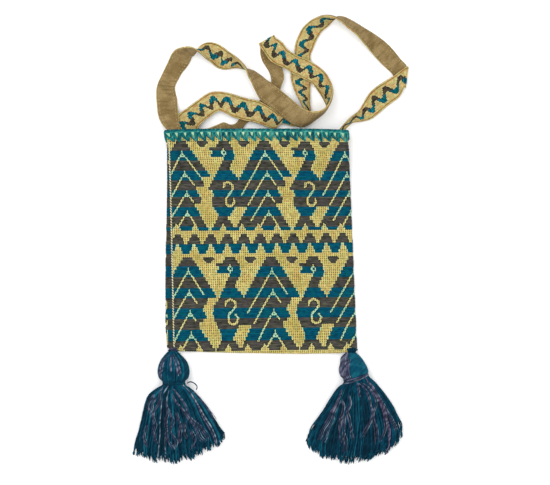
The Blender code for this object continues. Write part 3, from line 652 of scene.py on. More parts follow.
# line inside each rim of the band: partly its own orange-brown, partly painted shade where the rim rolls
# over
BAND_EDGE_AND_RIM_SHADE = WarpGround(
    "band_edge_cotton_and_rim_shade", "a8843e", "7c5e30", "a06c38", "4c3a1c", rib_gap_shade=0.3, cells=(0.5, 0.55)
)
BAND_WEFTS = (
    PatternWeft("band_blue_weft", "07606e", "1c9ab0", "02333c", "0a5c58", 0.65, (0.2, 0.3, 0.55)),
    PatternWeft("band_brown_weft", "4c4034", "7a6a5c", "1e1914", "44482e", 0.65, (0.2, 0.4, 0.55)),
)
LINING_COTTON = PlainCotton("lining_cotton", "927a50", "b0976a", "54431f")
LINING_THREAD = PliedYarn("lining_thread", "baa87c", "ccbc92", "8c7a50", 900.0)
SEWING_THREAD = PliedYarn("sewing_thread", "e2d9aa", "f0eac6", "a89c68", 900.0)
# material numbers of the edging's yarns, in the order that follows
BLUE, LIGHT, DARK, PALE, HOLE_SHADE = range(5)
EDGING_YARNS = (
    PliedYarn("edging_yarn_blue", "0c6468", "20847e", "043e48"),
    PliedYarn("edging_yarn_light", "2a8682", "5cac9e", "0c5658"),
    PliedYarn("edging_yarn_dark", "064c58", "0e646c", "032e38"),
    PliedYarn("edging_yarn_pale", "a8d8b4", "d8ecb8", "6eb09a"),
    # not a yarn of its own: painted shadow of the needle hole at each tooth's tip
    PliedYarn("edging_hole_shade", "0a2c30", "103a40", "061c20"),
)
# material numbers of the tassels' yarns, in the order that follows
NAVY, PETROL, TEAL, GREY, SILVER = range(5)
TASSEL_YARNS = (
    PliedYarn("tassel_yarn_dark", "02283a", "05364a", "011420", line_share=0.25),
    PliedYarn("tassel_yarn_blue", "01384e", "044a60", "011e2c", line_share=0.25),
    PliedYarn("tassel_yarn_light", "064c64", "156478", "022c3c", line_share=0.25),
    PliedYarn("tassel_yarn_grey", "4e4662", "766c88", "141a30", 330.0, 0.75, 14.0),
    PliedYarn("tassel_yarn_pale", "5e7486", "98a8b4", "0c2036", 330.0, 0.8, 14.0),
)


def put(mesh: bmesh.types.BMesh, name: str, finishes: tuple) -> bpy.types.Object:
    """Smooth object at the origin from a bmesh.

    Args:
        mesh: Shape in metres in the row frame; it is freed.
        name: Piece name.
        finishes: Finish of each material slot.

    Returns:
        The object, linked to the scene.
    """
    data = bpy.data.meshes.new(name)
    mesh.to_mesh(data)
    mesh.free()
    for finish in finishes:
        data.materials.append(finish_of(finish))
    data.shade_smooth()
    thing = bpy.data.objects.new(name, data)
    bpy.context.scene.collection.objects.link(thing)
    LOG.info("%s: %d faces", name, len(data.polygons))
    return thing


def sheet_grid(places: np.ndarray, marks: np.ndarray) -> bmesh.types.BMesh:
    """Grid of faces laid through an array of points.

    Args:
        places: Points in metres, shape (down, across, 3).
        marks: Stitch map of each point, shape (down, across, 2).

    Returns:
        The bmesh.
    """
    downs, acrosses = places.shape[:2]
    mesh = bmesh.new()
    uv = mesh.loops.layers.uv.new(STITCH_MAP)
    bmesh.ops.create_grid(mesh, x_segments=acrosses - 1, y_segments=downs - 1, size=0.5)
    for vertex in mesh.verts:
        across = round((vertex.co.x + 0.5) * (acrosses - 1))
        down = round((vertex.co.y + 0.5) * (downs - 1))
        vertex.index = down * acrosses + across
    flat_places = places.reshape(-1, 3).tolist()
    flat_marks = marks.reshape(-1, 2).tolist()
    for face in mesh.faces:
        for loop in face.loops:
            loop[uv].uv = flat_marks[loop.vert.index]
    for vertex in mesh.verts:
        vertex.co = flat_places[vertex.index]
    return mesh


def float_edges(cells: np.ndarray) -> tuple[np.ndarray, np.ndarray]:
    """Where pattern yarn lies on the corners of a woven face's cells.

    Args:
        cells: Values of Pick, down by across.

    Returns:
        True at corners with pattern yarn all round, and 1 at those where a float
        ends; both have one row and one column more than cells.
    """
    figure = np.pad(np.isin(cells, (Pick.BLUE.value, Pick.BROWN.value)).astype(float), 1, mode="edge")
    around = (figure[:-1, :-1], figure[:-1, 1:], figure[1:, :-1], figure[1:, 1:])
    least = np.minimum.reduce(around)
    return least > 0, np.maximum.reduce(around) - least


def weave_in(mesh: bmesh.types.BMesh, cells: np.ndarray, ends: np.ndarray) -> None:
    """Give the faces of a grid their yarn, and its points their share of a float's end.

    Args:
        mesh: Grid from sheet_grid.
        cells: Values of Pick, down by across; faces past the last column are left.
        ends: From 0 to 1 for each point, down by across.
    """
    for face in mesh.faces:
        row, column = divmod(min(vertex.index for vertex in face.verts), ends.shape[1])
        if column < cells.shape[1]:
            face.material_index = int(cells[row, column])
    layer = mesh.verts.layers.float.new(END_LAYER)
    flat_ends = ends.ravel().tolist()
    for vertex in mesh.verts:
        vertex[layer] = flat_ends[vertex.index]


def spline(points: np.ndarray, steps: int) -> np.ndarray:
    """Centripetal Catmull-Rom curve through points of any dimension.

    Args:
        points: Points, one a row.
        steps: Samples for each span.

    Returns:
        Samples, ending on the last point.
    """
    row = np.concatenate([2 * points[:1] - points[1:2], points, 2 * points[-1:] - points[-2:-1]])
    share = np.arange(steps) / steps
    out = []
    for a, b, c, d in zip(row, row[1:], row[2:], row[3:]):
        gaps = [math.sqrt(np.linalg.norm(far - near)) for near, far in ((a, b), (b, c), (c, d))]
        knots = np.concatenate([[0.0], np.cumsum(gaps)])
        t = (knots[1] + (knots[2] - knots[1]) * share)[:, None]
        ab = a + (b - a) * (t - knots[0]) / (knots[1] - knots[0])
        bc = b + (c - b) * (t - knots[1]) / (knots[2] - knots[1])
        cd = c + (d - c) * (t - knots[2]) / (knots[3] - knots[2])
        abc = ab + (bc - ab) * (t - knots[0]) / (knots[2] - knots[0])
        bcd = bc + (cd - bc) * (t - knots[1]) / (knots[3] - knots[1])
        out.append(abc + (bcd - abc) * (t - knots[1]) / (knots[2] - knots[1]))
    return np.concatenate([*out, points[-1:]])


def close_tube(mesh: bmesh.types.BMesh) -> None:
    """Weld a rolled-up grid along its seam, cap its ends and turn its faces outwards."""
    bmesh.ops.remove_doubles(mesh, verts=mesh.verts, dist=1e-6)
    rim = [edge for edge in mesh.edges if edge.is_boundary]
    if rim:
        bmesh.ops.holes_fill(mesh, edges=rim, sides=0)
    bmesh.ops.recalc_face_normals(mesh, faces=mesh.faces)


def dress(piece: bpy.types.Object, body: str, slot: str, *nodes: str) -> None:
    """Let a piece ride on a body and hide the CAD nodes that it stands for."""
    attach(piece, body)
    if nodes:
        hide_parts(*nodes)


def stitches(
    name: str, centres: np.ndarray, frames: np.ndarray, size: tuple, thread: PliedYarn
) -> bpy.types.Object:
    """Row of sewn stitches, each a small flattened bead.

    Args:
        name: Piece name.
        centres: Middle of each stitch in metres, n by 3.
        frames: Directions along, beside and above each stitch as columns, n by 3 by 3.
        size: Half length, half width and half height in millimetres.
        thread: Finish of the thread.

    Returns:
        The piece.
    """
    mesh = bmesh.new()
    for centre, directions in zip(centres, frames):
        place = np.eye(4)
        place[:3, :3] = directions * np.array(size) * MM
        place[:3, 3] = centre
        matrix = Matrix(place.tolist())
        bmesh.ops.create_uvsphere(mesh, u_segments=6, v_segments=4, radius=1.0, matrix=matrix)
    bmesh.ops.recalc_face_normals(mesh, faces=mesh.faces)
    return put(mesh, name, (thread,))


def strands(name: str, lines: list, finishes: tuple, closed: bool = False) -> bpy.types.Object:
    """Yarns as one piece of round lines.

    Args:
        name: Piece name.
        lines: For each yarn its points in metres, its radii in millimetres and its material number.
        finishes: Finish of each material slot.
        closed: Whether each yarn is a ring.

    Returns:
        The piece.
    """
    curve = bpy.data.curves.new(name, "CURVE")
    curve.dimensions = "3D"
    curve.bevel_depth = MM
    curve.bevel_resolution = 1
    curve.use_fill_caps = True
    for finish in finishes:
        curve.materials.append(finish_of(finish))
    for points, radii, number in lines:
        line = curve.splines.new("POLY")
        line.points.add(len(points) - 1)
        line.points.foreach_set("co", np.concatenate([points, np.ones((len(points), 1))], axis=1).ravel())
        line.points.foreach_set("radius", np.broadcast_to(radii, len(points)).astype(float))
        line.material_index = number
        line.use_cyclic_u = closed
    piece = bpy.data.objects.new(name, curve)
    bpy.context.scene.collection.objects.link(piece)
    LOG.info("%s: %d yarns", name, len(lines))
    return piece


def surface_normals(places: np.ndarray) -> np.ndarray:
    """Unit normals of a grid of points, to the side where across x down points."""
    across = np.gradient(places, axis=1)
    down = np.gradient(places, axis=0)
    normal = np.cross(down, across)
    length = np.linalg.norm(normal, axis=2, keepdims=True)
    return normal / np.maximum(length, 1e-12)


def unit(vectors: np.ndarray) -> np.ndarray:
    """Vectors along the last axis, one long."""
    return vectors / np.linalg.norm(vectors, axis=-1, keepdims=True)


def nearest(offset: np.ndarray, pitch: float) -> np.ndarray:
    """Offset from the nearest of places a pitch apart, the first of them at 0."""
    return (offset + pitch / 2) % pitch - pitch / 2


@dataclass(frozen=True)
class MotifChart:
    """Weaver's chart of one tree and one bird, in ribs across and rows down.

    Each outline is given by its corners. Tree corners are counted from the
    tree's middle rib, bird corners from the rib of the bird's eye.
    """

    tree: tuple
    bird: tuple
    # line that hooks through the bird's body, from its upper end
    hook: tuple
    repeat: int = 40
    rows: int = 27
    eye: float = 20.2
    eye_row: float = 3.75
    rib_width: float = 2.07
    row_height: float = 3.4
    diamonds: tuple = (9.9, 29.9)
    diamond: tuple = ((0.25, 0.75, 1.25, 1.75), (2.5, 2.9, 1.8, 1.2))
    peaks: tuple = (3, 9, 15, 21)
    left_ends: tuple = (16.5, 19.6, 24.4, 26.0)
    right_ends: tuple = (11.0, 13.8, 18.6, 26.0)
    leg_half: float = 0.42
    # lines on a bird, in millimetres: the hook's half width, the eye ring's radius
    # and half width, and the half width, start and end of the ticks by the eye
    hook_half: float = 0.95
    ring: tuple[float, float] = (1.9, 0.65)
    tick: tuple[float, float, float] = (0.5, 2.3, 4.4)
    # half width of the line at a peak: rows below it, and ribs
    stem: tuple = ((0.0, 0.9, 1.0, 1.3, 1.4, 2.0), (0.3, 0.3, 0.6, 0.6, 1.15, 1.15))
    # notches in the motif's foot: rows, and half widths in ribs of the first four
    notch_rows: tuple = (24.6, 25.0, 25.7, 26.0, 26.4, 27.0)
    notch_halves: tuple = (0.0, 0.3, 0.6, 0.9)
    notch_top: float = 24.9
    # their middles, from a tree and from a bird's eye, and last half width
    tree_notches: tuple = ((-13.4, 1.5), (-5.4, 2.0), (3.6, 1.5))
    bird_notches: tuple = ((-2.7, 1.5),)

    def shows(self, rib: np.ndarray, row: np.ndarray) -> tuple[np.ndarray, np.ndarray]:
        """Where coloured yarn lies over the ground, and where a line cuts a figure.

        Args:
            rib: Places in ribs from a tree's middle.
            row: Places in rows from the motif's top.

        Returns:
            True on a figure, and True on the lines in it.
        """
        from_tree = nearest(rib, self.repeat)
        from_eye = nearest(rib - self.eye, self.repeat)
        middle = np.floor(row) + 0.5
        shown = inside(self.tree, from_tree, middle) | inside(self.tree, from_tree - self.repeat, middle)
        shown |= inside(self.bird, from_eye, middle)
        for place in self.diamonds:
            off = np.abs(nearest(rib - place, self.repeat))
            shown |= (off < np.interp(row, *self.diamond)) & (row < 2)
        lines = np.zeros(shown.shape, bool)
        for peak, left_end, right_end in zip(self.peaks, self.left_ends, self.right_ends):
            fall = row - peak
            lines |= (np.abs(from_tree) <= np.interp(fall, *self.stem)) & (fall >= 0) & (fall < 2)
            lines &= (np.abs(fall - 1.5) > 0.2) | (np.abs(from_tree) > 0.3)
            leg = np.abs(np.abs(from_tree) - fall + 0.5) <= self.leg_half
            lines |= leg & (fall >= 2) & (row <= np.where(from_tree < 0, left_end, right_end))
        lines |= near_line(self.hook, from_eye, row, (self.rib_width, self.row_height)) < self.hook_half
        across, down = np.abs(from_eye * self.rib_width), np.abs((row - self.eye_row) * self.row_height)
        radius, half = self.ring
        lines |= np.abs(np.hypot(across, down) - radius) < half
        half, start, end = self.tick
        lines |= (across < half) & (down > start) & (down < end)
        lines &= shown
        notches = [(from_tree, *notch) for notch in self.tree_notches]
        notches += [(from_eye, *notch) for notch in self.bird_notches]
        for off, centre, wide in notches:
            half = np.interp(row, self.notch_rows, (*self.notch_halves, wide, wide))
            shown &= ~((np.abs(off - centre) <= half) & (row > self.notch_top))
        return shown & ~lines, lines


UPPER_CHART = MotifChart(
    tree=(
        ((-2, 0), (2, 0), (13, 11), (7, 11), (9.3, 12.8), (8.3, 14), (4.2, 14), (7.4, 17.8), (6.2, 19))
        + ((3.2, 19), (10.8, 27), (-20, 27), (-20, 26), (-16.4, 26), (-10.4, 20), (-14, 20), (-14, 12))
    ),
    bird=(
        ((-2, 0), (-4, 2), (-6.8, 2), (-6.8, 3), (-5.4, 3), (-5.4, 4), (-6.6, 4), (-6.6, 5), (0, 5))
        + ((-9.7, 14.7), (-7.6, 15), (-6.8, 16.4), (-7.9, 17), (-7.7, 20), (-4.8, 22.6), (-5.4, 23.4))
        + ((-8.9, 27), (6, 27), (5.5, 26), (2.5, 26), (-0.2, 23.5), (3.6, 20), (14, 20), (14, 12))
        + ((6.2, 12), (1.7, 8.2), (4.4, 6), (4.9, 5), (4.7, 2), (4, 2), (2, 0))
    ),
    hook=(
        ((-1.7, 14.2), (-1.3, 13.0), (0.6, 12.6), (2.4, 13.3), (2.8, 14.6), (0.6, 16.4), (-1.0, 17.6))
        + ((-1.0, 19.0), (0.2, 19.7), (2.0, 19.6), (3.0, 18.7), (2.8, 17.6))
    ),
)
LOWER_CHART = MotifChart(
    tree=(
        ((-2, 0), (2, 0), (12.8, 10.8), (12.8, 11.6), (9, 11.8), (8.8, 13.2), (7.2, 14), (6, 15))
        + ((7.8, 17.5), (6.8, 18.2), (3.5, 19.8), (4.7, 21), (11.8, 27), (-20, 27), (-20, 26), (-16.4, 26))
        + ((-10.8, 20), (-14, 20), (-14, 12))
    ),
    bird=(
        ((-2, 0), (-4, 2), (-6.8, 2), (-6.8, 3), (-5.4, 3), (-5.4, 4), (-6.6, 4), (-6.6, 5), (0, 5))
        + ((-5.9, 11.8), (-5.9, 12), (-9.2, 14.4), (-8.7, 15), (-9.3, 16.3), (-8.8, 18.3), (-7.6, 20))
        + ((-5.8, 22.3), (-5.8, 24), (-9.2, 27), (6, 27), (5.5, 26), (2.9, 26), (-0.3, 23.5), (2.8, 20.2))
        + ((14, 20), (14, 12), (6.2, 12), (1.7, 8.2), (4.4, 6), (4.9, 5), (4.7, 2), (4, 2), (2, 0))
    ),
    peaks=(3.5, 9.4, 15.4, 21.3),
    hook=(
        ((-3.2, 14.3), (-2.6, 13.0), (-0.6, 12.4), (1.4, 13.1), (1.9, 14.3), (0.4, 15.7), (-1.3, 16.6))
        + ((-2.1, 17.6), (-1.9, 19.1), (-0.1, 19.8), (1.9, 19.3), (2.5, 18.0), (1.7, 17.0))
    ),
)


def near_line(points: tuple, x: np.ndarray, y: np.ndarray, scale: tuple) -> np.ndarray:
    """Distance to the nearest part of a line.

    Args:
        points: Corners of the line.
        x: Place across.
        y: Place down.
        scale: Size of one unit across and of one unit down.

    Returns:
        Distances, in the units of scale.
    """
    least = np.full(x.shape, np.inf)
    for (x0, y0), (x1, y1) in zip(points, points[1:]):
        step = np.array([(x1 - x0) * scale[0], (y1 - y0) * scale[1]])
        off = ((x - x0) * scale[0], (y - y0) * scale[1])
        share = np.clip((off[0] * step[0] + off[1] * step[1]) / (step @ step), 0, 1)
        least = np.minimum(least, np.hypot(off[0] - share * step[0], off[1] - share * step[1]))
    return least


def inside(corners: tuple, x: np.ndarray, y: np.ndarray) -> np.ndarray:
    """Whether points lie in a closed outline.

    Args:
        corners: Corners of the outline.
        x: Point positions across.
        y: Point positions down.

    Returns:
        True for points inside.
    """
    within = np.zeros(x.shape, bool)
    for (x0, y0), (x1, y1) in zip(corners, corners[1:] + corners[:1]):
        if y0 == y1:
            continue
        crosses = (y0 > y) != (y1 > y)
        within ^= crosses & (x < (x1 - x0) * (y - y0) / (y1 - y0) + x0)
    return within


@dataclass
class WovenPouch:
    """The bag's cloth: one cloth wrapped round, seamed up the front's left."""

    ribs: tuple[int, int] = (-5, 192)
    rows: tuple[int, int] = (-3, 66)
    cuts_across: int = 2
    cuts_down: int = 3
    closing_rib: float = 191.6
    wall: float = 1.8
    # how deep the cloth's two edges are tucked in at most
    tuck: float = 1.6
    flat: tuple[float, float] = (0.449, 0.265)
    tree_rib: float = 6.2
    rib_height: float = 0.35
    float_height: float = 0.75
    # where ribs lie on the front: rib, then its x at each of the levels
    rib_levels: tuple = (150.0, 172.0, 191.0, 211.0, 268.0, 308.0, 345.0)
    rib_places: tuple = (
        (0.0, 168.9, 171.8, 174.0, 174.6, 175.4, 177.1, 179.0),
        (6.2, 181.8, 184.7, 186.9, 187.5, 188.3, 190.0, 191.9),
        (46.2, 264.6, 267.0, 267.8, 268.6, 271.7, 273.6, 276.0),
        (86.2, 344.0, 346.5, 348.8, 350.5, 354.2, 356.0, 358.0),
    )
    # row number and its upper edge's y near the left, mid-way and near the right
    row_columns: tuple = (186.0, 268.0, 348.0)
    row_places: tuple = (
        (-3, 131.35, 131.35, 131.35),
        (0, 141.0, 141.2, 142.5),
        (3, 150.9, 150.5, 151.5),
        (9, 170.8, 170.4, 171.4),
        (15, 190.3, 190.0, 190.5),
        (20, 207.3, 207.0, 206.6),
        (23, 216.6, 216.2, 216.0),
        (26, 227.3, 226.9, 226.5),
        (27, 230.9, 230.4, 229.8),
        (28, 234.2, 233.4, 232.6),
        (31, 244.2, 243.2, 242.4),
        (34, 254.2, 253.2, 252.6),
        (35, 257.3, 256.5, 256.0),
        (38, 266.2, 266.1, 266.6),
        (44, 288.1, 287.4, 287.2),
        (50, 308.3, 307.2, 307.0),
        (56, 329.7, 327.8, 326.7),
        (59, 341.1, 340.0, 338.9),
        (62, 352.0, 350.2, 349.4),
        (66, 364.9, 363.5, 362.9),
    )
    seam_top: tuple[float, float] = (169.7, 142.8)
    seam_bottom: tuple[float, float] = (174.2, 349.2)
    # motifs: first row, chart and the rows woven in blue
    motifs: tuple = (
        (0, UPPER_CHART, (3, 4, 5, 9, 10, 11, 15, 16, 20, 21, 22, 26)),
        (35, LOWER_CHART, (3, 4, 5, 9, 10, 11, 15, 16, 17, 21, 22, 23)),
    )
    mounds: tuple[int, int] = (28, 31)
    # half width in ribs of each of their rows
    brown_mound: tuple = (1.6, 2.4, 3.2)
    blue_mound: tuple = (3.3, 2.5, 1.7)
    mound_pitch: int = 8
    mound_rib: float = 3.2
    # ribs past this one turn round the left side; there the ground is left out and
    # the rows' brown and blue fill it, which paints the shade of the turned-away side
    side_rib: float = 188.5
    side_row: float = 7.0
    # shadow on the side as a share of a float's end
    side_shade: float = 0.35
    # how far floats dip between rows
    float_dip: float = 0.14

    def section(self, down: np.ndarray) -> tuple:
        """Sizes of the bag's section at fractions of the way down."""
        rows = np.array(BODY_ROWS)
        under, thick, swell = (np.interp(down, rows[:, 0], rows[:, k]) for k in (1, 2, 3))
        radius = thick / 2
        left = np.interp(down, *zip(*LEFT_EDGE)) + radius / GRID_MM
        right = RIGHT_TOP_X + (RIGHT_BOTTOM_X - RIGHT_TOP_X) * down - radius / GRID_MM
        return under, thick, swell, left, right

    def seam_x(self, y: np.ndarray) -> np.ndarray:
        """Grid x of the seam at a height on the drawing grid."""
        (top_x, top_y), (low_x, low_y) = self.seam_top, self.seam_bottom
        return top_x + (low_x - top_x) * (y - top_y) / (low_y - top_y)

    def rib_distance(
        self, rib: np.ndarray, y: np.ndarray, left: np.ndarray, round_cloth: np.ndarray
    ) -> np.ndarray:
        """Distance of a rib along the cloth from the front's left fold.

        Args:
            rib: Rib numbers.
            y: Grid y.
            left: Grid x of the front's left fold.
            round_cloth: Length once round the bag.

        Returns:
            Distances in grid units.
        """
        knots = [row[0] for row in self.rib_places] + [self.closing_rib]
        places = [np.interp(y, self.rib_levels, row[1:]) - left for row in self.rib_places]
        places.append(self.seam_x(y) - left + round_cloth)
        spans = list(zip(knots, knots[1:], places, places[1:]))
        lengths = [near + (far - near) * ((rib - low) / (high - low)) for low, high, near, far in spans]
        out = lengths[0]
        for (low, *_), here in zip(spans[1:], lengths[1:]):
            out = np.where(rib >= low, here, out)
        return out

    def around(self, distance: np.ndarray, down: np.ndarray, grow: np.ndarray) -> tuple:
        """Place on the bag's section at a distance along the cloth.

        Args:
            distance: Grid units from the front's left fold, to the right.
            down: Fraction of the way from mouth to bottom.
            grow: How far out of the surface, in millimetres.

        Returns:
            Grid x and height in millimetres.
        """
        under, thick, swell, left, right = self.section(down)
        flat = right - left
        radius = thick / 2
        side = math.pi * radius / GRID_MM
        distance = distance % (2 * flat + 2 * side)
        reach = (radius + grow) / GRID_MM
        right_turn = (distance - flat) / side * math.pi
        left_turn = (distance - 2 * flat - side) / side * math.pi
        x = np.where(distance <= flat, left + distance, right + reach * np.sin(right_turn))
        x = np.where(distance > flat + side, right - (distance - flat - side), x)
        x = np.where(distance > 2 * flat + side, left - reach * np.sin(left_turn), x)
        centred = np.clip(2 * (x - left) / flat - 1, -1, 1)
        height = under + thick + swell * (1 - centred * centred) + grow
        middle, arm = under + radius, radius + grow
        height = np.where(distance > flat, middle + arm * np.cos(right_turn), height)
        height = np.where(distance > flat + side, under - grow, height)
        height = np.where(distance > 2 * flat + side, middle - arm * np.cos(left_turn), height)
        return x, height

    def places(self, rib: np.ndarray, row: np.ndarray, grow: np.ndarray | float = 0.0) -> np.ndarray:
        """Points of the cloth for stitches.

        Args:
            rib: Rib positions, shape (down, across).
            row: Row positions, the same shape.
            grow: How far out of the surface, in millimetres.

        Returns:
            Grid x, grid y and height in millimetres, shape (down, across, 3).
        """
        numbers, *columns = zip(*self.row_places)
        near, middle, far = (np.interp(row, numbers, column) for column in columns)
        first, second, third = self.row_columns
        x = np.full(rib.shape, GRID_X)
        edge_x, edge_y = zip(*BOTTOM_EDGE)
        for _ in range(4):
            y = near + (middle - near) * np.clip((x - first) / (second - first), 0, 1)
            y = y + (far - middle) * np.clip((x - second) / (third - second), 0, 1)
            edge = np.interp(x, edge_x, edge_y)
            down = np.clip((y - MOUTH_Y) / (edge - MOUTH_Y), 0, 1)
            under, thick, _, left, right = self.section(down)
            once = 2 * (right - left) + math.pi * thick / GRID_MM
            distance = self.rib_distance(rib, y, left, once)
            seam = self.seam_x(y) - left
            tucked = np.maximum(seam - distance, 0) + np.maximum(distance - seam - once, 0)
            x, height = self.around(np.clip(distance, seam, seam + once), down, grow)
        height = height - np.minimum(tucked * GRID_MM, self.tuck)
        past = np.maximum(y - edge, 0) * GRID_MM
        middle = under + thick / 2
        up = np.where(height > middle, -1.0, 1.0)
        height = np.where(past > 0, height + up * np.minimum(past, np.abs(height - middle) - 0.15), height)
        y = np.minimum(y, edge + 0.25 * np.clip(past, 0, 1))
        return np.stack([x, y, height], axis=-1)

    def picks(self, rib: np.ndarray, row: np.ndarray) -> np.ndarray:
        """Which yarn shows at each small cell of the cloth.

        Args:
            rib: Middle of each cell in ribs.
            row: Middle of each cell in rows, the same shape.

        Returns:
            Values of Pick, the same shape.
        """
        found = np.full(rib.shape, Pick.GROUND.value)
        from_tree = rib - self.tree_rib
        blue_rows = np.zeros(rib.shape, bool)
        for first, chart, blues in self.motifs:
            here = row - first
            within = (here >= 0) & (here < chart.rows)
            shown, lines = chart.shows(from_tree, here)
            blue = np.isin(np.floor(here), blues)
            off = np.abs(nearest(from_tree, chart.repeat))
            blue |= (here > 25.5) & (off < 3.4) & (26 in blues)
            blue_rows |= within & blue
            found[shown & within] = Pick.BROWN.value
            found[shown & within & blue] = Pick.BLUE.value
            found[lines & within & blue] = Pick.LINE.value
        off = np.abs(nearest(from_tree - self.mound_rib, self.mound_pitch))
        brown = (off, self.brown_mound, Pick.BROWN)
        blue = (self.mound_pitch / 2 - off, self.blue_mound, Pick.BLUE)
        for first, (away, halves, pick) in zip(self.mounds, (brown, blue)):
            for index, half in enumerate(halves):
                found[(np.floor(row) == first + index) & (away <= half)] = pick.value
        bowl = (row >= self.mounds[1]) & (row < self.mounds[1] + len(self.blue_mound))
        # painted shade: on the turned-away side the ground gives way to brown and blue
        side = (rib > self.side_rib) & (row > self.side_row)
        found[side] = Pick.BROWN.value
        found[side & (blue_rows | bowl)] = Pick.BLUE.value
        blue = np.pad(found == Pick.BLUE.value, ((0, 0), (1, 1)))
        fringe = (blue[:, :-2] | blue[:, 2:]) & (found == Pick.GROUND.value)
        found[fringe & (np.abs(row % 1 - 0.4) < 0.35)] = Pick.LINE.value
        return found

    def build(self) -> bpy.types.Object:
        """Outer cloth with its ribs and floats in relief."""
        ribs, rows = (last - first for first, last in (self.ribs, self.rows))
        rib_line = self.ribs[0] + np.arange(ribs * self.cuts_across + 1) / self.cuts_across
        row_line = self.rows[0] + np.arange(rows * self.cuts_down + 1) / self.cuts_down
        rib, row = np.meshgrid(rib_line, row_line)
        base = metres(self.places(rib, row))
        normal = surface_normals(base)
        base[..., 2] = np.maximum(base[..., 2], self.float_height * MM)
        middles = ((edges[:-1] + edges[1:]) / 2 for edges in (rib_line, row_line))
        cells = self.picks(*np.meshgrid(*middles))
        covered, ends = float_edges(cells)
        ends = np.where(rib > self.side_rib, np.maximum(ends, self.side_shade), ends)
        between_ribs, between_rows = (np.abs(place % 1 - 0.5) > 0.4 for place in (rib, row))
        relief = np.where(between_ribs, 0.0, self.rib_height)
        relief = np.where(covered, self.float_height - self.float_dip * between_rows, relief)
        mesh = sheet_grid(base + normal * relief[..., None] * MM, np.stack([rib, row], axis=-1))
        weave_in(mesh, cells, ends)
        cloth = put(mesh, "woven_cloth", (GROUND, BLUE_WEFT, BROWN_WEFT, LINE_GROUND))
        dress(cloth, "bag", "woven_body", "woven_body")
        self.build_inner()
        return cloth

    def build_inner(self) -> bpy.types.Object:
        """Inner face of the cloth, joined to the outer one at the mouth."""
        row_line = np.concatenate([[self.rows[0]] * 2, np.arange(self.rows[0] + 1, self.rows[1] - 1, 1.0)])
        rib_line = np.arange(self.ribs[0], self.ribs[1] + 1, 1.0)
        rib, row = np.meshgrid(rib_line, row_line)
        grow = np.full(rib.shape, -self.wall)
        grow[0] = 0.3
        grow[2:] += 0.12 * np.cos(math.pi * rib[2:]) * np.cos(math.pi * row[2:])
        places = metres(self.places(rib, row, grow))
        mesh = sheet_grid(places, np.stack([rib, row], axis=-1))
        bmesh.ops.reverse_faces(mesh, faces=mesh.faces)
        inner = put(mesh, "woven_cloth_inside", (INNER_GROUND,))
        dress(inner, "bag", "woven_body")
        return inner


